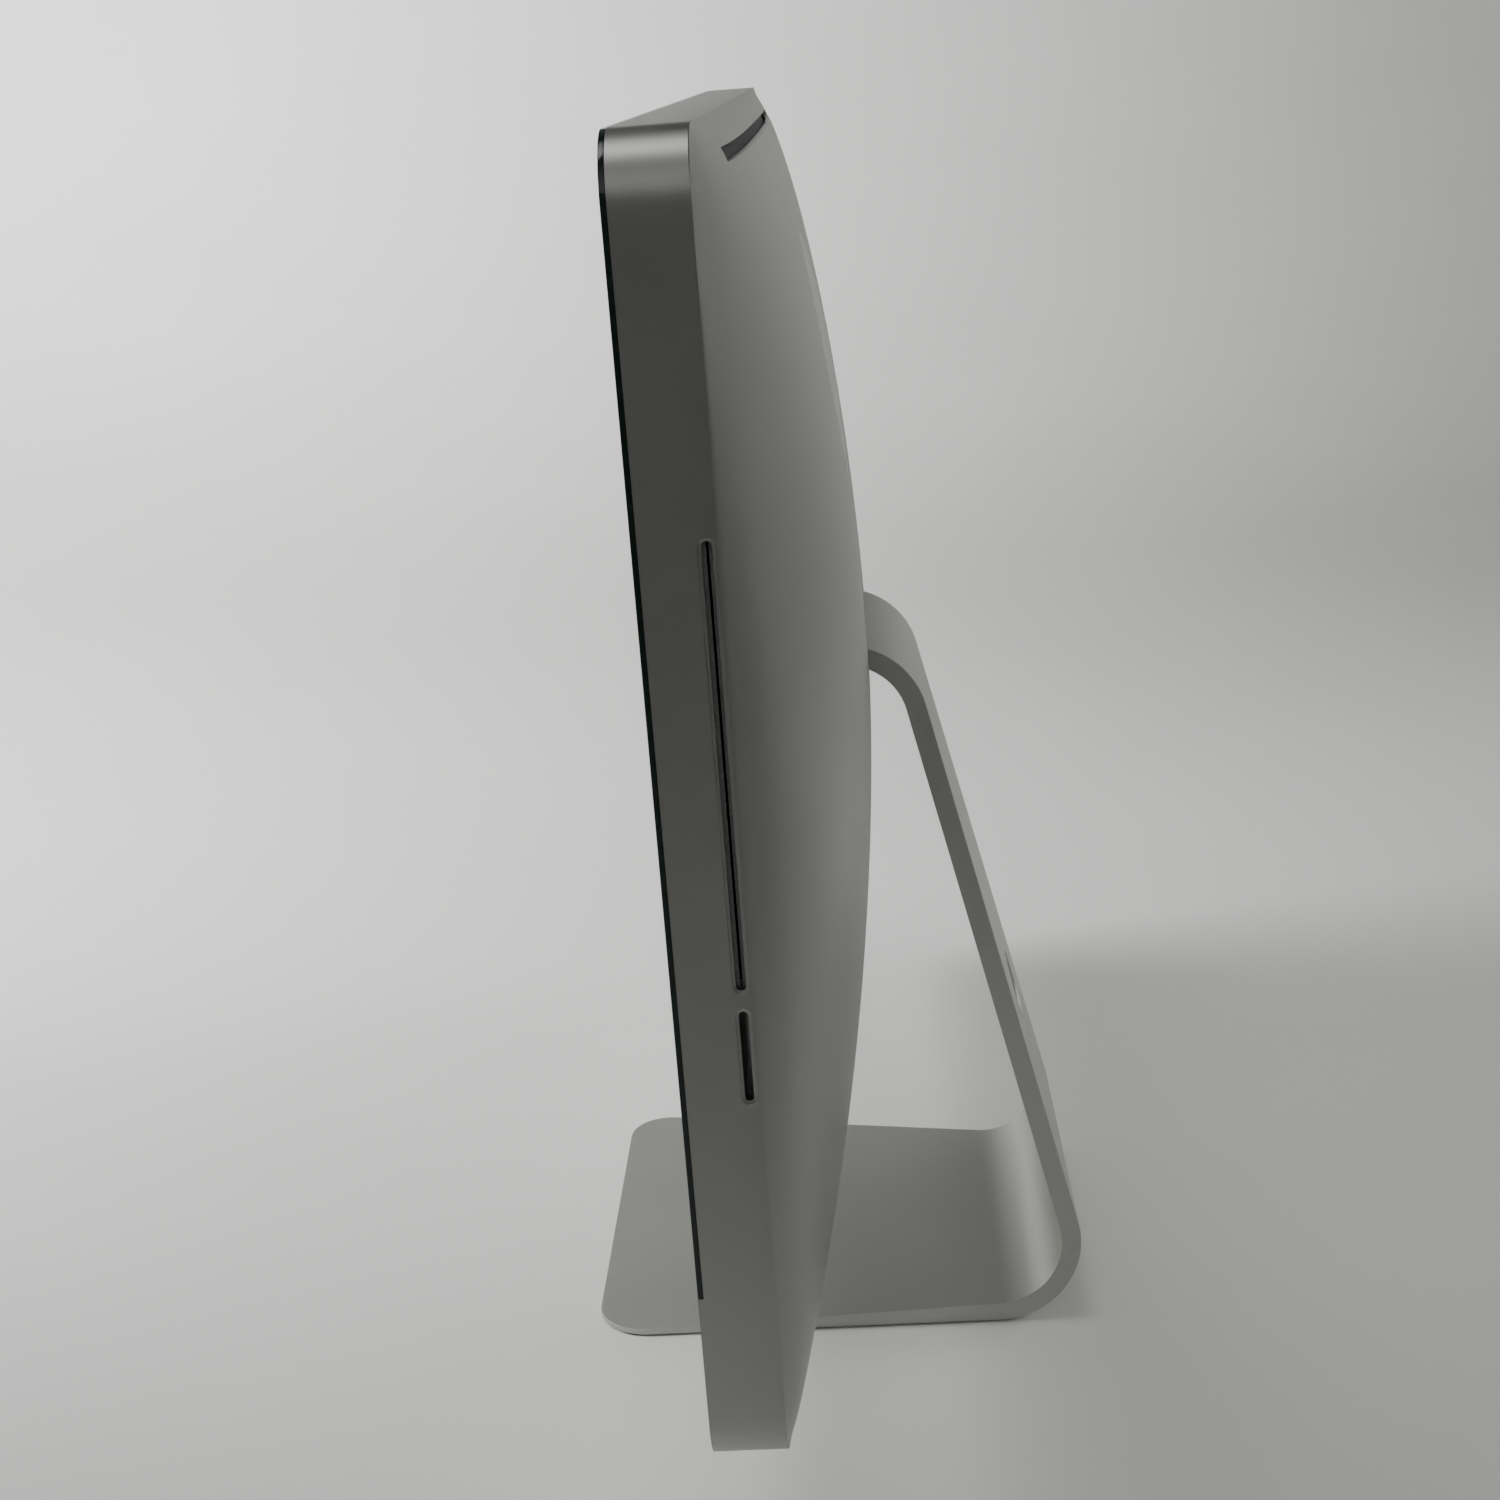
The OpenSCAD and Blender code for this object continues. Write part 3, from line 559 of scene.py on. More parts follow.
def block(x: Span, y: Span, z: Span) -> Mesh:
    """Make a box between three pairs of limits.

    Args:
        x: limits along x.
        y: limits along y.
        z: limits along z.

    Returns:
        The box.
    """
    bm = bmesh.new()
    made = bmesh.ops.create_cube(bm, size=1.0)["verts"]
    bmesh.ops.scale(bm, verts=made, vec=[b - a for a, b in (x, y, z)])
    shift(bm, made, [(a + b) / 2 for a, b in (x, y, z)])
    return bm


def facing_out(bm: Mesh) -> Mesh:
    """Point every face of a closed mesh outwards and return the mesh."""
    bmesh.ops.recalc_face_normals(bm, faces=list(bm.faces))
    return bm


def to_object(bm: Mesh, name: str) -> bpy.types.Object:
    """Turn a bmesh into an object in the scene.

    Args:
        bm: the mesh, used up.
        name: name of the object.

    Returns:
        The object.
    """
    mesh = bpy.data.meshes.new(name)
    bm.to_mesh(mesh)
    bm.free()
    obj = bpy.data.objects.new(name, mesh)
    bpy.context.scene.collection.objects.link(obj)
    return obj


def carve(bm: Mesh, cutters: Sequence[Mesh]) -> Mesh:
    """Cut solids out of a solid.

    Args:
        bm: the solid with its faces outwards, used up.
        cutters: solids to remove, used up.

    Returns:
        What is left.
    """
    base = to_object(bm, "carve_base")
    tools = [to_object(facing_out(c), f"carve_tool_{i}") for i, c in enumerate(cutters)]
    for tool in tools:
        mod = base.modifiers.new(tool.name, "BOOLEAN")
        mod.operation = "DIFFERENCE"
        mod.solver = "EXACT"
        mod.object = tool
    bpy.context.view_layer.update()
    mesh = bpy.data.meshes.new_from_object(base.evaluated_get(bpy.context.evaluated_depsgraph_get()))
    left = bmesh.new()
    left.from_mesh(mesh)
    bpy.data.meshes.remove(mesh)
    for obj in [base, *tools]:
        data = obj.data
        bpy.data.objects.remove(obj)
        bpy.data.meshes.remove(data)
    bmesh.ops.dissolve_degenerate(left, edges=list(left.edges), dist=1e-4)
    return left


def merge_meshes(parts: Sequence[Mesh]) -> Mesh:
    """Put several meshes that don't overlap into one.

    Args:
        parts: the meshes, used up.

    Returns:
        One mesh.
    """
    whole = bmesh.new()
    for part in parts:
        mesh = bpy.data.meshes.new("part")
        part.to_mesh(mesh)
        part.free()
        whole.from_mesh(mesh)
        bpy.data.meshes.remove(mesh)
    return whole


def soften(bm: Mesh, width: float, segments: int = 2, limit: float = CREASE) -> None:
    """Round every edge that turns by more than an angle.

    Args:
        bm: mesh to change.
        width: size of the rounding.
        segments: steps across it.
        limit: smallest angle that is rounded, in radians.
    """
    sharp = [e for e in bm.edges if len(e.link_faces) == 2 and e.calc_face_angle(0.0) > limit]
    bmesh.ops.bevel(bm, geom=sharp, offset=width, offset_type="OFFSET", segments=segments, profile=0.5,
                    affect="EDGES", material=-1, clamp_overlap=True)


def smooth_across(edge: bmesh.types.BMEdge, limit: float) -> bool:
    """Say whether shading runs smoothly over an edge.

    Args:
        edge: edge between two faces.
        limit: angle above which it stays sharp.

    Returns:
        False for a sharp turn, and for a slight turn from a big face to a sliver.
    """
    turn = edge.calc_face_angle(0.0)
    areas = sorted(f.calc_area() for f in edge.link_faces)
    return turn < limit and (turn < SLIGHT_TURN or areas[1] < SLIVER * max(areas[0], 1e-12))


@dataclass(frozen=True)
class Seat:
    """Where the upright display drawing sits on its tilt hinge, in millimetres and degrees."""

    hinge_y: float
    hinge_z: float
    depth: float = 37.6
    height: float = 188.3
    lean: float = 4.35

    def matrix(self) -> Matrix:
        """Work out the move from the drawing, in millimetres, to the frame, in metres.

        Returns:
            The move.
        """
        turn = Matrix.Rotation(math.radians(self.lean), 4, "X")
        drop = Matrix.Translation((0.0, -self.depth, -self.height))
        lift = Matrix.Translation((0.0, self.hinge_y, self.hinge_z))
        return Matrix.Scale(MM, 4) @ lift @ turn @ drop


GROUND = Matrix.Scale(MM, 4)


class Maker:
    """Turns a finished bmesh into a dressed piece that rides on a body."""

    def __init__(self, paint: Paintbox) -> None:
        """Keep the finishes.

        Args:
            paint: the built finishes.
        """
        self.paint = paint

    def piece(self, bm: Mesh, name: str, finishes: Sequence[str], body: Body, slot: str,
              place: Matrix, nodes: Sequence[str] = (), limit: float = CREASE,
              turn_out: bool = True) -> bpy.types.Object:
        """Make the object.

        Args:
            bm: mesh in millimetres, used up.
            name: name of the piece.
            finishes: finishes in material index order.
            body: body that it rides on.
            slot: material slot of the record; not used.
            place: move from the drawing to the frame.
            nodes: CAD nodes that it stands for.
            limit: angle above which an edge stays sharp.
            turn_out: whether to point all faces outwards.

        Returns:
            The object.
        """
        bmesh.ops.transform(bm, matrix=place, verts=list(bm.verts))
        if turn_out:
            bmesh.ops.recalc_face_normals(bm, faces=list(bm.faces))
        for f in bm.faces:
            f.smooth = True
        for e in bm.edges:
            e.smooth = len(e.link_faces) == 2 and smooth_across(e, limit)
        obj = to_object(bm, name)
        for key in finishes:
            obj.data.materials.append(self.paint.get(key))
        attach(obj, body.value)
        if nodes:
            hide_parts(*nodes)
        LOG.info("made %s: %d faces", name, len(obj.data.polygons))
        return obj


# ---------------------------------------------------------------- housing


@dataclass(frozen=True)
class BackShape:
    """Outline of the housing and depth of its curved back, in millimetres."""

    width: float = 528.0
    height: float = 383.0
    corner: float = 18.5
    band: float = 22.5
    bulge: float = 37.4
    peak: float = -0.055
    side_power: float = 3.3
    side_shape: float = 0.66
    end_power: float = 1.6
    end_shape: float = 0.55
    edge: float = 14.0

    def half(self, size: float, other: float, t: float) -> float:
        """Return the half size of the outline along one axis.

        Args:
            size: full size along that axis.
            other: full size along the other axis.
            t: place along the other axis, from the middle.

        Returns:
            Half size in millimetres.
        """
        run = min(max(abs(t) - (other / 2 - self.corner), 0.0), self.corner)
        return size / 2 - self.corner + math.sqrt(max(1e-6, self.corner ** 2 - run ** 2))

    def depth(self, x: float, z: float) -> float:
        """Return the depth of the back behind the glass.

        Args:
            x: sideways place from the middle.
            z: height above the lower edge.

        Returns:
            Depth in millimetres.
        """
        up = z - self.height / 2
        u = min(1.0, abs(x) / self.half(self.width, self.height, up))
        w = up / self.half(self.height, self.width, x)
        v = (w - self.peak) / (1 - self.peak) if w > self.peak else (self.peak - w) / (1 + self.peak)
        side = self.fall(u, self.side_power, self.side_shape, self.edge / (self.width / 2))
        end = self.fall(min(1.0, v), self.end_power, self.end_shape, self.edge / (self.height / 2))
        return self.band + self.bulge * side * end

    def fall(self, t: float, power: float, shape: float, flat: float) -> float:
        """Return the share of the bulge at a share of the way out, with a gentler run into the crease.

        Args:
            t: share of the way from the middle to the outline.
            power: fullness of the middle.
            shape: steepness towards the outline.
            flat: share of the way that is gentler.

        Returns:
            Share from 0 to 1.
        """
        start = 1 - flat
        if t <= start:
            return (1 - t ** power) ** shape
        rest = 1 - start ** power
        value = rest ** shape
        slope = -shape * rest ** (shape - 1) * power * start ** (power - 1) * flat
        s = (t - start) / flat
        return max(0.0, value + slope * s - (value + slope) * s * s)

    def normal(self, x: float, z: float) -> Vector:
        """Return the outward normal of the back.

        Args:
            x: sideways place from the middle.
            z: height above the lower edge.

        Returns:
            Unit vector.
        """
        dx = self.depth(x + 0.5, z) - self.depth(x - 0.5, z)
        dz = self.depth(x, z + 0.5) - self.depth(x, z - 0.5)
        return Vector((-dx, 1.0, -dz)).normalized()


@dataclass(frozen=True)
class Port:
    """A row of like sockets in the lower back, in millimetres."""

    at: tuple[float, ...]
    half: Span
    corner: float
    steps: int = 8


PORTS = (
    Port((-62, -76), (3.4, 3.4), 3.35, 10),
    Port((-92, -104, -116, -128), (3.1, 7.0), 0.6),
    Port((-144,), (3.6, 5.0), 0.8),
    Port((-160,), (3.0, 4.6), 0.8),
    Port((-180,), (8.2, 7.4), 0.8),
)


@dataclass
class Housing:
    """Aluminium housing in one piece, with its slots, sockets and openings."""

    maker: Maker
    seat: Matrix
    shape: BackShape = field(default_factory=BackShape)
    wall: float = 3.0
    skin: float = 2.0
    chin: float = 60.5
    glass: float = 1.7
    plate: float = 4.0
    rings: int = 58
    inner_rings: int = 22
    pitch: float = 4.2
    crease_run: float = 0.30
    crease_in: float = 0.10
    crease_drop: float = 0.06
    slot_depth: float = 19.4
    disc_slot: Triple = (156.0, 281.0, 2.7)
    card_slot: Triple = (122.6, 149.7, 2.4)
    vent: Triple = (207.0, 370.8, 3.9)
    well: Triple = (254.0, 6.0, 12.5)
    window: Span = (291.5, 45.0)
    window_gap: float = 0.18
    window_thick: float = 1.6
    window_drop: float = 0.15
    window_rings: int = 24
    neck: Triple = (45.4, 180.6, 203.9)
    inlet: Triple = (60.0, 17.3, 12.3)
    port_z: float = 47.0
    clear: float = 6.0
    lip: tuple[Span, ...] = ((0.0, -0.52), (0.13, -0.38), (0.92, -0.15), (1.04, 0.02), (1.04, 3.0))
    button: Span = (-222.0, 36.0)
    grille_rows: tuple[float, ...] = (8.0, 12.0, 16.0)
    grille_count: int = 12
    grille_start: float = 83.0
    grille_pitch: float = 14.0
    grille_slot: Triple = (10.0, 1.8, 0.85)
    grille_room: Box = ((-56, 56), (6.5, 17.5), (1.0, 5.0))
    door_recess: Box = ((-62, 62), (5, 19), (-1, 1.2))
    door: Box = ((-61.8, 61.8), (5.2, 18.8), (0.05, 1.15))
    door_screw: Triple = (59.0, 12.0, 1.35)
    button_hole: tuple[Span, ...] = ((7.75, -6.0), (7.75, -0.3), (8.68, 1.0), (8.68, 8.0))
    button_form: tuple[Span, ...] = ((2.0, -4.6), (2.0, -1.9), (7.1, -1.9), (7.4, -1.6), (7.4, -0.4), (7.15, -0.15),
                                     (6.6, -0.2), (4.5, -0.42), (2.2, -0.52), (0.6, -0.55))
    gauze_down: float = 3.6
    gauze_thick: float = 0.5

    def outer(self) -> Mesh:
        """Make the solid outside of the housing, front plate included.

        Returns:
            The solid.
        """
        s = self.shape
        mid = s.height / 2
        bm = bmesh.new()
        ring = rounded_ring(bm, s.width, s.height, s.corner, self.pitch, 14)
        shift(bm, ring_verts(ring), (0.0, 0.0, mid))
        cap(bm, ring)
        for y in (s.band * 0.5, s.band - self.crease_run):
            ring = grow(bm, ring, lambda c, y=y: Vector((c.x, y, c.z)))
        ring = grow(bm, ring, lambda c: self.inset(c, self.crease_in, s.band - self.crease_drop))
        self.dome(bm, ring, ring_shares(range(1, self.rings), self.rings, 1.55, 0.999), self.on_back,
                  1.0 - self.crease_in / mid)
        return bm

    def dome(self, bm: Mesh, ring: Ring, shares: Iterable[float], surface: Callable[[float, float], Vector],
             last: float = 1.0) -> None:
        """Close a ring over a surface with smaller and smaller rings.

        Args:
            bm: mesh that holds the ring.
            ring: the ring.
            shares: size of each new ring, as a share of the outline.
            surface: point of the surface at a place.
            last: share of the outline that the given ring has.
        """
        mid = self.shape.height / 2
        for share in shares:
            step = share / last
            ring = grow(bm, ring, lambda c, step=step: surface(c.x * step, (c.z - mid) * step + mid))
            last = share
        pole(bm, ring)

    def inset(self, c: Vector, by: float, y: float) -> Vector:
        """Move a point of the outline inwards by a small step.

        Args:
            c: point on the outline.
            by: step in millimetres.
            y: new depth.

        Returns:
            The moved point.
        """
        s = self.shape
        mid = s.height / 2
        return Vector((c.x * (1 - by / (s.width / 2)), y, (c.z - mid) * (1 - by / mid) + mid))

    def on_back(self, x: float, z: float, rise: float = 0.0) -> Vector:
        """Return the point of the curved back at a place, raised by a step."""
        return Vector((x, self.shape.depth(x, z) + rise, z))

    def cavity(self) -> Mesh:
        """Make the solid that is hollowed out of the housing.

        Returns:
            The solid.
        """
        s, wall = self.shape, self.wall
        bm = bmesh.new()
        ring = rounded_ring(bm, s.width - 2 * wall, s.height - 2 * wall, s.corner - wall, 12.0, 6)
        shift(bm, ring_verts(ring), (0.0, self.plate, s.height / 2))
        cap(bm, ring)
        self.dome(bm, ring, ring_shares(range(self.inner_rings), self.inner_rings, 1.5, 0.99), self.under_back)
        return bm

    def under_back(self, x: float, z: float) -> Vector:
        """Return the point under the skin of the curved back."""
        return Vector((x, max(self.shape.band - 0.5, self.shape.depth(x, z) - self.skin), z))

    def skin_cutter(self, middle: Span, half: Span, radius: float,
                    flare: float, start: float, pitch: float = 6.0, steps: int = 8) -> Mesh:
        """Make a cutter through the back whose mouth follows the curve and flares into a bevel.

        Args:
            middle: place of its middle.
            half: half sizes along x and z.
            radius: corner radius.
            flare: size of the bevel.
            start: depth where the cutter starts inside.
            pitch: longest edge along its outline.
            steps: edges in each corner.

        Returns:
            The cutter.
        """
        bm = bmesh.new()
        ring = rounded_ring(bm, 2 * half[0], 2 * half[1], radius, pitch, steps)
        shift(bm, ring_verts(ring), (middle[0], start, middle[1]))
        cap(bm, ring)
        mouth = Vector((2 * flare / half[0] + 1, 0, 2 * flare / half[1] + 1))
        for wide, rise in ((Vector((1, 0, 1)), -flare), (mouth, flare), (Vector((1, 0, 1)), self.clear)):
            ring = grow(bm, ring, lambda c, wide=wide, rise=rise: self.on_back(
                middle[0] + (c.x - middle[0]) * wide.x, middle[1] + (c.z - middle[1]) * wide.z, rise))
        cap(bm, ring)
        return bm

    def side_cutter(self, low: float, high: float, gap: float) -> Mesh:
        """Make a round-ended slot through the right side wall with a sunk lip.

        Args:
            low: lower end.
            high: upper end.
            gap: clear width.

        Returns:
            The cutter.
        """
        face, middle = self.shape.width / 2, (low + high) / 2
        bm = bmesh.new()
        ring = rounded_ring(bm, gap, high - low, gap / 2 - 0.01, 10.0, 10)
        bmesh.ops.rotate(bm, verts=ring_verts(ring), matrix=Matrix.Rotation(math.pi / 2, 3, "Z"))
        shift(bm, ring_verts(ring), (face - self.clear, self.slot_depth, middle))
        cap(bm, ring)
        for out, x in self.lip:
            ring = grow(bm, ring, lambda c, out=out, x=x: self.about_slot(c, middle, gap / 2 + out, out, x, high - low))
        cap(bm, ring)
        return bm

    def about_slot(self, c: Vector, middle: float, half: float, out: float, x: float, length: float) -> Vector:
        """Place a point of a slot's outline at a new offset.

        Args:
            c: point on the outline.
            middle: height of the slot's middle.
            half: new half width.
            out: offset from the clear outline.
            x: place along x from the side face.
            length: clear length.

        Returns:
            The moved point.
        """
        straight = length / 2 - (half - out)
        z = c.z - middle
        run = min(max(z, -straight), straight)
        across = Vector((0.0, c.y - self.slot_depth, z - run))
        if across.length > 1e-9:
            across = across.normalized() * half
        return Vector((self.shape.width / 2 + x, self.slot_depth + across.y, middle + run + across.z))

    def grille(self) -> list[Mesh]:
        """Make the slot cutters of the lower wall.

        Returns:
            One cutter for each slot.
        """
        cutters = []
        for side, row, k in itertools.product((-1, 1), self.grille_rows, range(self.grille_count)):
            bm = bmesh.new()
            ring = rounded_ring(bm, *self.grille_slot, 20.0, 4)
            bmesh.ops.rotate(bm, verts=ring_verts(ring), matrix=Matrix.Rotation(math.pi / 2, 3, "X"))
            shift(bm, ring_verts(ring), (side * (self.grille_start + self.grille_pitch * k), row, -1.0))
            cap(bm, ring)
            cap(bm, grow(bm, ring, lambda c: Vector((c.x, c.y, 4.0))))
            cutters.append(bm)
        return cutters

    def button_cutter(self) -> Mesh:
        """Make the round cutter of the power button, square to the back.

        Returns:
            The cutter.
        """
        bm, ring = turned(self.button_hole, 48)
        cap(bm, ring)
        bmesh.ops.transform(bm, matrix=self.along(*self.button), verts=list(bm.verts))
        return bm

    def along(self, x: float, z: float) -> Matrix:
        """Return the move that sets +Y on the back's normal at a place."""
        turn = Vector((0, 1, 0)).rotation_difference(self.shape.normal(x, z)).to_matrix().to_4x4()
        return Matrix.Translation((x, self.shape.depth(x, z), z)) @ turn

    def back_cutters(self) -> list[Mesh]:
        """Make every cutter that goes through the curved back.

        Returns:
            The cutters.
        """
        cut = self.skin_cutter
        half_x, low, tall = self.vent
        z, radius = self.window
        neck_x, neck_low, neck_high = self.neck
        cutters = [cut((0, low + tall / 2), (half_x, tall / 2), 0.3, 0.12, 20.0, steps=2),
                   cut((0, z), (radius, radius), radius - 0.05, 0.12, 36.0, steps=28),
                   cut((0, (neck_low + neck_high) / 2), (neck_x, (neck_high - neck_low) / 2), 3.0, 0.5, 46.0),
                   cut((0, self.inlet[0]), self.inlet[1:], 5.0, 0.3, 28.0)]
        for port in PORTS:
            cutters += [cut((x, self.port_z), port.half, port.corner, 0.2, 29.5, steps=port.steps) for x in port.at]
        cutters.append(self.button_cutter())
        return cutters

    def build(self) -> bpy.types.Object:
        """Build the housing.

        Returns:
            The piece.
        """
        s = self.shape
        half, over = s.width / 2, 2.0
        well_x, well_low, well_high = self.well
        bm = carve(facing_out(self.outer()), [
            self.cavity(),
            block((-half - over, half + over), (-over, self.glass), (self.chin, s.height + over)),
            block((-well_x, well_x), (0.5, self.plate + 1), (self.chin + well_low, s.height - well_high)),
            merge_meshes(self.back_cutters()),
            merge_meshes([self.side_cutter(*self.disc_slot), self.side_cutter(*self.card_slot)]),
            merge_meshes([*self.grille(), block(*self.grille_room)]),
            block(*self.door_recess),
        ])
        return self.maker.piece(bm, "case_shell", ["case"], Body.DISPLAY, "alu_satin", self.seat, ["rear_housing"],
                                math.radians(28.0), turn_out=False)

    def vent_gauze(self) -> bpy.types.Object:
        """Build the strip of gauze just under the top vent.

        Returns:
            The piece.
        """
        half_x, low, tall = self.vent
        bm = bmesh.new()
        ring = rounded_ring(bm, 2 * half_x + 2, tall + 2.4, 0.4, 6.0, 2)
        shift(bm, ring_verts(ring), (0.0, 0.0, low + tall / 2))
        for v in ring_verts(ring):
            v.co = self.on_back(v.co.x, v.co.z, -self.gauze_down)
        bmesh.ops.triangle_fill(bm, use_beauty=True, use_dissolve=False, edges=ring)
        made = bmesh.ops.extrude_face_region(bm, geom=list(bm.faces))["geom"]
        shift(bm, [g for g in made if isinstance(g, bmesh.types.BMVert)], (0.0, self.gauze_thick, 0.0))
        return self.maker.piece(bm, "vent_gauze", ["gauze"], Body.DISPLAY, "black_plastic", self.seat)

    def antenna_window(self) -> bpy.types.Object:
        """Build the round lacquered window that follows the back.

        Returns:
            The piece.
        """
        z = self.window[0]
        radius = self.window[1] - self.window_gap
        bm = bmesh.new()
        ring = round_ring(bm, radius, 120)
        shift(bm, ring_verts(ring), (0.0, 0.0, z))
        for v in ring_verts(ring):
            v.co = self.on_back(v.co.x, v.co.z, -self.window_thick)
        floor = ring
        ring = grow(bm, ring, lambda c: self.on_back(c.x, c.z, -self.window_drop))
        count, last = self.window_rings, 1.0
        for share in [1 - self.window_drop / radius, *(1 - k / count for k in range(1, count))]:
            ring = grow(bm, ring, lambda c, k=share / last: self.on_back(c.x * k, (c.z - z) * k + z))
            last = share
        pole(bm, ring)
        cap(bm, floor)
        return self.maker.piece(bm, "antenna_disc", ["window"], Body.DISPLAY, "window", self.seat,
                                ["antenna_window"])

    def power_button(self) -> bpy.types.Object:
        """Build the dished power button and its stem.

        Returns:
            The piece.
        """
        bm, ring = turned(self.button_form, 64)
        pole(bm, ring)
        bmesh.ops.transform(bm, matrix=self.along(*self.button), verts=list(bm.verts))
        return self.maker.piece(bm, "power_button_cap", ["trim"], Body.BUTTON, "alu_stand", self.seat,
                                ["power_button"])

    def memory_door(self) -> bpy.types.Object:
        """Build the long cover in the lower wall.

        Returns:
            The piece.
        """
        x, y, radius = self.door_screw
        bm = carve(facing_out(block(*self.door)), [self.upright_pin((at, y), radius, -1.0, 3.0) for at in (-x, x)])
        soften(bm, 0.2)
        return self.maker.piece(bm, "memory_cover", ["case"], Body.DISPLAY, "alu_satin", self.seat, ["memory_door"])

    def upright_pin(self, at: Span, radius: float, low: float, high: float) -> Mesh:
        """Make a round pin along z.

        Args:
            at: place of its axis.
            radius: radius of the pin.
            low: lower end.
            high: upper end.

        Returns:
            The pin.
        """
        bm = bmesh.new()
        bmesh.ops.create_cone(bm, cap_ends=True, segments=32, radius1=radius, radius2=radius, depth=high - low)
        shift(bm, bm.verts, (at[0], at[1], (low + high) / 2))
        return bm


@dataclass
class FrontGlass:
    """Full-width glass sheet with a black border, the unlit screen area and the camera eye."""

    maker: Maker
    seat: Matrix
    shape: BackShape = field(default_factory=BackShape)
    thick: float = 1.7
    low: float = 60.65
    screen: Span = (476.0, 268.0)
    screen_z: float = 88.0
    gap: float = 0.1
    edge: float = 0.25
    eye_z: float = 371.0
    eye_form: tuple[Span, ...] = ((2.4, 0.02), (2.4, -0.03), (2.2, -0.05), (1.5, -0.02), (1.2, -0.04), (0.4, -0.055))

    def build(self) -> bpy.types.Object:
        """Build the sheet with polished edges.

        Returns:
            The piece.
        """
        s = self.shape
        bm = bmesh.new()
        ring = rounded_ring(bm, s.width - 2 * self.gap, s.height - 2 * self.gap, s.corner - self.gap, 600.0, 20)
        shift(bm, ring_verts(ring), (0.0, 0.0, s.height / 2))
        cap(bm, ring)
        cap(bm, grow(bm, ring, lambda c: Vector((c.x, self.thick - 0.02, c.z))))
        geom = list(bm.verts) + list(bm.edges) + list(bm.faces)
        bmesh.ops.bisect_plane(bm, geom=geom, dist=1e-5, plane_co=(0, 0, self.low), plane_no=(0, 0, 1),
                               clear_inner=True)
        cap(bm, [e for e in bm.edges if e.is_boundary])
        soften(bm, self.edge, 3)
        half = self.screen[0] / 2
        top = self.screen_z + self.screen[1]
        across, up = (1, 0, 0), (0, 0, 1)
        for co, no in (((-half, 0, 0), across), ((half, 0, 0), across), ((0, 0, self.screen_z), up), ((0, 0, top), up)):
            face = [f for f in bm.faces if f.normal.y < -0.9 or f.calc_center_median().y < 0.01]
            parts = set(face) | {e for f in face for e in f.edges} | {v for f in face for v in f.verts}
            bmesh.ops.bisect_plane(bm, geom=list(parts), dist=1e-5, plane_co=co, plane_no=no)
        for f in bm.faces:
            c = f.calc_center_median()
            lit = abs(c.x) < half and self.screen_z < c.z < top and c.y < 0.01
            f.material_index = 2 if lit else (0 if abs(f.normal.y) > 0.7 else 1)
        return self.maker.piece(bm, "glass_sheet", ["glass", "glass_edge", "screen"], Body.DISPLAY, "glass_black",
                                self.seat, ["front_glass"], math.radians(20.0))

    def camera_eye(self) -> bpy.types.Object:
        """Build the small round eye in the upper border.

        Returns:
            The piece.
        """
        bm, ring = turned(self.eye_form, 48)
        pole(bm, ring)
        shift(bm, bm.verts, (0.0, 0.0, self.eye_z))
        return self.maker.piece(bm, "camera_eye", ["screen"], Body.DISPLAY, "screen", self.seat)


# ---------------------------------------------------------------- stand


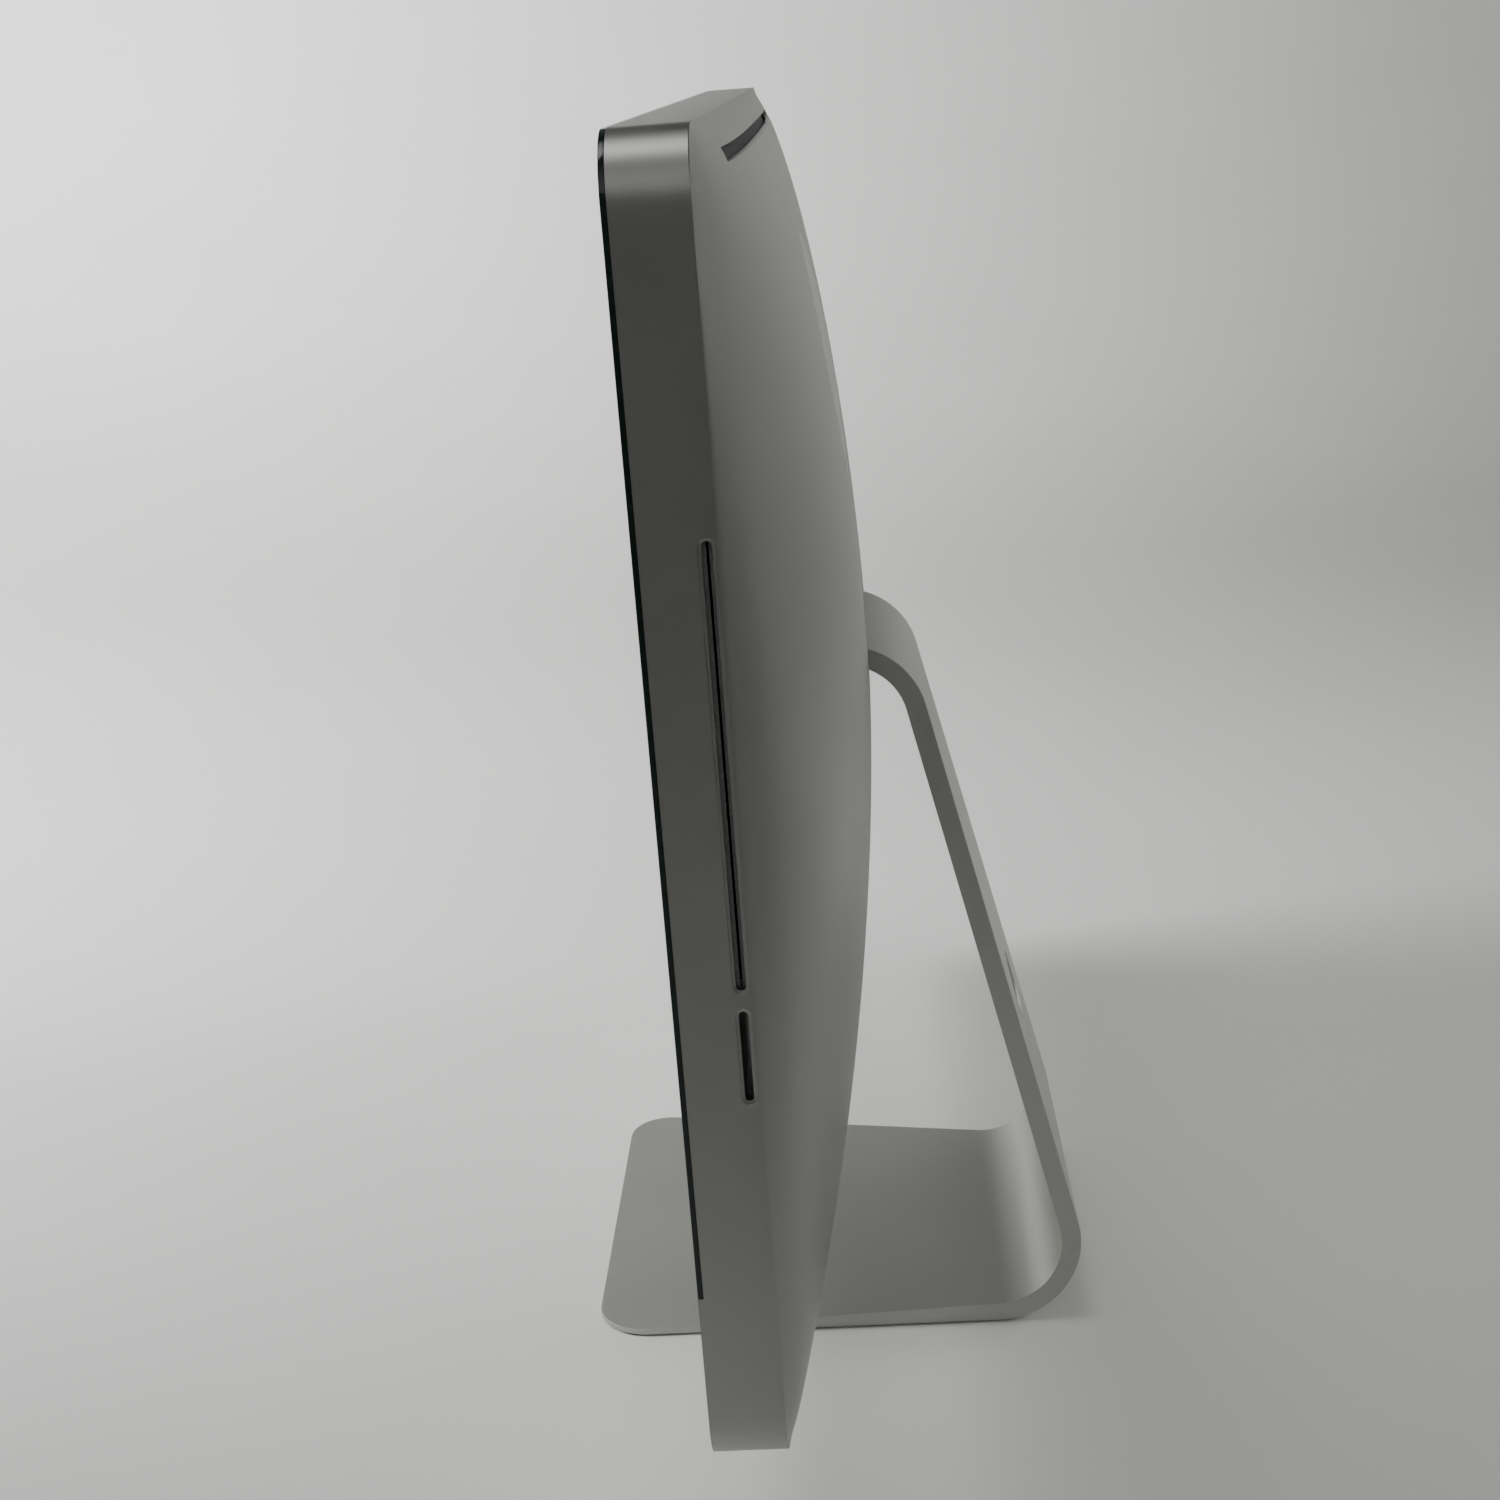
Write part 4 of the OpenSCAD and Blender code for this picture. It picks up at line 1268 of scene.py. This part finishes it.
@dataclass
class BentStand:
    """One aluminium plate bent twice: foot, upright with a cable hole, and neck."""

    maker: Maker
    foot_depth: float = 186.3
    foot_width: float = 176.5
    bend_width: float = 140.6
    neck_width: float = 87.6
    plate: float = 7.4
    toe: float = 1.6
    bend: float = 31.0
    upright: float = 211.9
    lean: float = 17.6
    pad: float = 0.8
    corner: float = 20.0
    hole: Span = (74.0, 14.0)
    hole_edge: float = 0.6
    edge: float = 0.55
    neck_run: float = 5.3

    def centre(self) -> Vector:
        """Return the middle of the lower bend."""
        return Vector((0.0, self.foot_depth / 2 - self.bend, self.pad + self.bend))

    def out(self, angle: float) -> Vector:
        """Return a unit vector in the side plane at an angle above +Y, in degrees."""
        a = math.radians(angle)
        return Vector((0.0, math.cos(a), math.sin(a)))

    def sections(self) -> list[Section]:
        """Return the plate's cross-sections from the toe to the neck.

        Returns:
            For each one the half width, the outer point and the inner point.
        """
        c = self.centre()
        front = -self.foot_depth / 2
        run = c.y - front
        rows: list[Section] = []
        steps = [self.corner * (1 - math.cos(math.pi / 2 * k / 14)) for k in range(15)]
        steps += [self.corner + (run - self.corner) * k / 10 for k in range(1, 11)]
        for d in steps:
            half = (self.foot_width + (self.bend_width - self.foot_width) * d / run) / 2
            if d < self.corner:
                half += math.sqrt(max(0.0, self.corner ** 2 - (self.corner - d) ** 2)) - self.corner
            top = self.pad + self.toe + (self.plate - self.toe) * d / run
            rows.append((half, Vector((0, front + d, self.pad)), Vector((0, front + d, top))))
        turn = 90 + self.lean
        bend_len = self.bend * math.radians(turn)
        total = bend_len + self.upright

        def row(n: Vector, middle: Vector, length: float) -> Section:
            """Return the section on a radius, at a length past the start of the bend."""
            half = (self.bend_width + (self.neck_width - self.bend_width) * min(1.0, length / total)) / 2
            return half, middle + n * self.bend, middle + n * (self.bend - self.plate)

        up = self.out(self.lean + 90)
        rows += [row(self.out(-90 + turn * k / 28), c, bend_len * k / 28) for k in range(1, 29)]
        rows += [row(self.out(self.lean), c + up * self.upright * k / 16, bend_len + self.upright * k / 16)
                 for k in range(1, 17)]
        rows += [row(self.out(self.lean + (90 - self.lean) * k / 20), c + up * self.upright, total)
                 for k in range(1, 21)]
        back = Vector((0, -self.neck_run, 0))
        rows.append((self.neck_width / 2, rows[-1][1] + back, rows[-1][2] + back))
        return rows

    def build(self) -> bpy.types.Object:
        """Build the plate, round its edges and cut the cable hole.

        Returns:
            The piece.
        """
        rows = self.sections()
        bm = bmesh.new()
        half, outer, inner = rows[0]
        for v in bmesh.ops.create_grid(bm, x_segments=1, y_segments=1, size=0.5)["verts"]:
            v.co = (outer if v.co.y < 0 else inner) + Vector((math.copysign(half, v.co.x), 0, 0))
        ring = list(bm.edges)
        for old, new in zip(rows, rows[1:]):
            ring = grow(bm, ring, lambda c, old=old, new=new: self.carry(c, old, new))
        cap(bm, ring)
        soften(facing_out(bm), self.edge, 3)
        bm = carve(bm, [self.hole_cutter()])
        return self.maker.piece(bm, "bent_stand", ["stand"], Body.STAND, "alu_stand", GROUND, ["stand_plate"],
                                math.radians(30.0), turn_out=False)

    def carry(self, c: Vector, old: Section, new: Section) -> Vector:
        """Carry a corner of one cross-section to the next.

        Args:
            c: the corner.
            old: the section that it is on.
            new: the section that it goes to.

        Returns:
            The corner's place on the new section.
        """
        near = Vector((0, c.y, c.z))
        at = new[1] if (near - old[1]).length < (near - old[2]).length else new[2]
        return Vector((math.copysign(new[0], c.x), at.y, at.z))

    def hole_cutter(self) -> Mesh:
        """Make the cable hole's cutter with bevelled mouths.

        Returns:
            The cutter.
        """
        s, radius = self.hole
        n, up = self.out(self.lean), self.out(self.lean + 90)
        middle = self.centre() + n * (self.bend - self.plate / 2) + up * s
        half, rim = self.plate / 2, self.hole_edge
        wide = (radius + 5 * rim, half + 4 * rim)
        bm, ring = turned(((wide[0], -wide[1]), (radius, rim - half), (radius, half - rim), wide), 96)
        cap(bm, ring)
        turn = Matrix.Rotation(math.radians(self.lean), 4, "X")
        bmesh.ops.transform(bm, matrix=Matrix.Translation(middle) @ turn, verts=list(bm.verts))
        return bm


# ---------------------------------------------------------------- studio


@dataclass
class Studio:
    """Pale floor, soft lights and the camera."""

    eye: Triple = (0.7954, -0.0128, 0.4711)
    yaw: float = -1.828
    pitch: float = -18.167
    roll: float = 0.308
    focal: float = 2136.8
    frame_size: float = 1500.0
    sensor: float = 36.0
    sheet: float = 1.7
    cove: float = 1.5
    wall: float = 1.55
    cove_steps: int = 24
    pale: Color = (0.81, 0.813, 0.795)
    room: tuple[Span, ...] = ((-1.0, 0.15), (-0.4, 0.03), (0.2, 0.03), (1.0, 0.90))

    def camera(self) -> None:
        """Place the camera."""
        yaw, pitch, roll = (math.radians(a) for a in (self.yaw, self.pitch, self.roll))
        ahead = Vector((-math.cos(pitch) * math.cos(yaw), math.cos(pitch) * math.sin(yaw), math.sin(pitch)))
        right = ahead.cross(Vector((0, 0, 1))).normalized()
        up = right.cross(ahead)
        level = Matrix((right, up, -ahead)).transposed()
        data = bpy.data.cameras.new("camera")
        data.sensor_width = self.sensor
        data.lens = self.focal / self.frame_size * self.sensor
        data.clip_start = 0.01
        obj = bpy.data.objects.new("camera", data)
        bpy.context.scene.collection.objects.link(obj)
        turn = (level @ Matrix.Rotation(roll, 3, "Z")).to_4x4()
        obj.matrix_world = Matrix.Translation(self.eye) @ turn
        bpy.context.scene.camera = obj

    def floor(self) -> None:
        """Lay a round floor that curves up into a low wall all the way round."""
        bm = bmesh.new()
        geom = bmesh.ops.create_vert(bm, co=(0.0, 0.0, 0.0))["vert"]
        turns = [math.pi / 2 * k / self.cove_steps for k in range(self.cove_steps + 1)]
        steps = [(self.sheet + self.cove * math.sin(a), self.cove * (1 - math.cos(a))) for a in turns]
        for x, z in [*steps, (self.sheet + self.cove, self.wall)]:
            geom = bmesh.ops.extrude_vert_indiv(bm, verts=geom)["verts"]
            for v in geom:
                v.co = (x, 0.0, z)
        bmesh.ops.spin(bm, geom=list(bm.verts) + list(bm.edges), cent=(0, 0, 0), axis=(0, 0, 1),
                       angle=2 * math.pi, steps=96, use_merge=True)
        bmesh.ops.remove_doubles(bm, verts=list(bm.verts), dist=1e-5)
        for f in bm.faces:
            f.smooth = True
        obj = to_object(bm, "floor")
        obj.data.materials.append(self.paper())

    def paper(self) -> bpy.types.Material:
        """Make the floor's pale paper.

        Returns:
            The material.
        """
        g = Graph("floor_paper")
        tint = g.ramp(g.noise(3.0, 4.0), "Fac", shade(self.pale, 0.98), shade(self.pale, 1.02))
        g.join(tint, "Color", g.shader, "Base Color")
        g.set(Roughness=0.6)
        return g.material

    def light(self, name: str, at: Triple, aim: Triple, size: float,
              power: float, spread: float) -> None:
        """Hang one square soft light.

        Args:
            name: name of the light.
            at: place.
            aim: point it faces.
            size: side in metres.
            power: watts.
            spread: full angle of the beam in degrees.
        """
        data = bpy.data.lights.new(name, "AREA")
        data.size = size
        data.energy = power
        data.spread = math.radians(spread)
        obj = bpy.data.objects.new(name, data)
        bpy.context.scene.collection.objects.link(obj)
        to = Vector(aim) - Vector(at)
        obj.matrix_world = Matrix.Translation(at) @ to.to_track_quat("-Z", "Y").to_matrix().to_4x4()

    def world(self) -> None:
        """Fill the room with soft light, mostly from the viewer's side."""
        world = bpy.data.worlds.new("room")
        bpy.context.scene.world = world
        world.use_nodes = True
        tree = world.node_tree
        tree.nodes.clear()
        place = tree.nodes.new("ShaderNodeTexCoord")
        split = tree.nodes.new("ShaderNodeSeparateXYZ")
        span = tree.nodes.new("ShaderNodeMapRange")
        span.inputs["From Min"].default_value = -1.0
        ramp = tree.nodes.new("ShaderNodeValToRGB")
        ramp.color_ramp.interpolation = "EASE"
        points = ramp.color_ramp.elements
        while len(points) < len(self.room):
            points.new(0.5)
        for point, (at, value) in zip(points, self.room):
            point.position = (at + 1) / 2
            point.color = (value, value, value, 1.0)
        back = tree.nodes.new("ShaderNodeBackground")
        out = tree.nodes.new("ShaderNodeOutputWorld")
        tree.links.new(place.outputs["Generated"], split.inputs["Vector"])
        tree.links.new(split.outputs["X"], span.inputs["Value"])
        tree.links.new(span.outputs["Result"], ramp.inputs["Fac"])
        tree.links.new(ramp.outputs["Color"], back.inputs["Color"])
        tree.links.new(back.outputs["Background"], out.inputs["Surface"])

    def build(self) -> None:
        """Set the whole studio up."""
        self.camera()
        self.floor()
        self.world()
        self.light("key", (0.0, -1.6, 1.0), (-0.5, -0.6, 0.0), 0.6, 8.5, 70.0)
        self.light("fill", (0.0, -1.6, 1.0), (-0.5, -0.6, 0.0), 1.0, 2.0, 90.0)
        self.light("wall", (-0.8, -1.2, 2.2), (-2.5, -1.2, 0.3), 1.0, 33.0, 90.0)
        self.light("top", (0.05, -0.6, 2.4), (-0.1, -0.1, 0.2), 1.2, 2.0, 60.0)
        self.light("side", (-0.6, 1.4, 1.0), (-0.1, 0.0, 0.2), 1.0, 1.0, 50.0)
        LOG.info("studio ready")


def main() -> None:
    """Build every piece in order and report it."""
    logging.basicConfig(level=logging.INFO, format="%(name)s: %(message)s")
    tilt = next(j for j in frame["joints"] if j["name"] == "tilt")
    seat = Seat(tilt["pos_m"][1] / MM, tilt["pos_m"][2] / MM).matrix()
    paint = Paintbox()
    paint.dress(frame["nodes"])
    maker = Maker(paint)
    housing = Housing(maker, seat)
    housing.build()
    housing.vent_gauze()
    housing.antenna_window()
    housing.power_button()
    housing.memory_door()
    glass = FrontGlass(maker, seat)
    glass.build()
    glass.camera_eye()
    BentStand(maker).build()
    Studio().build()


if __name__ == "__main__":
    main()
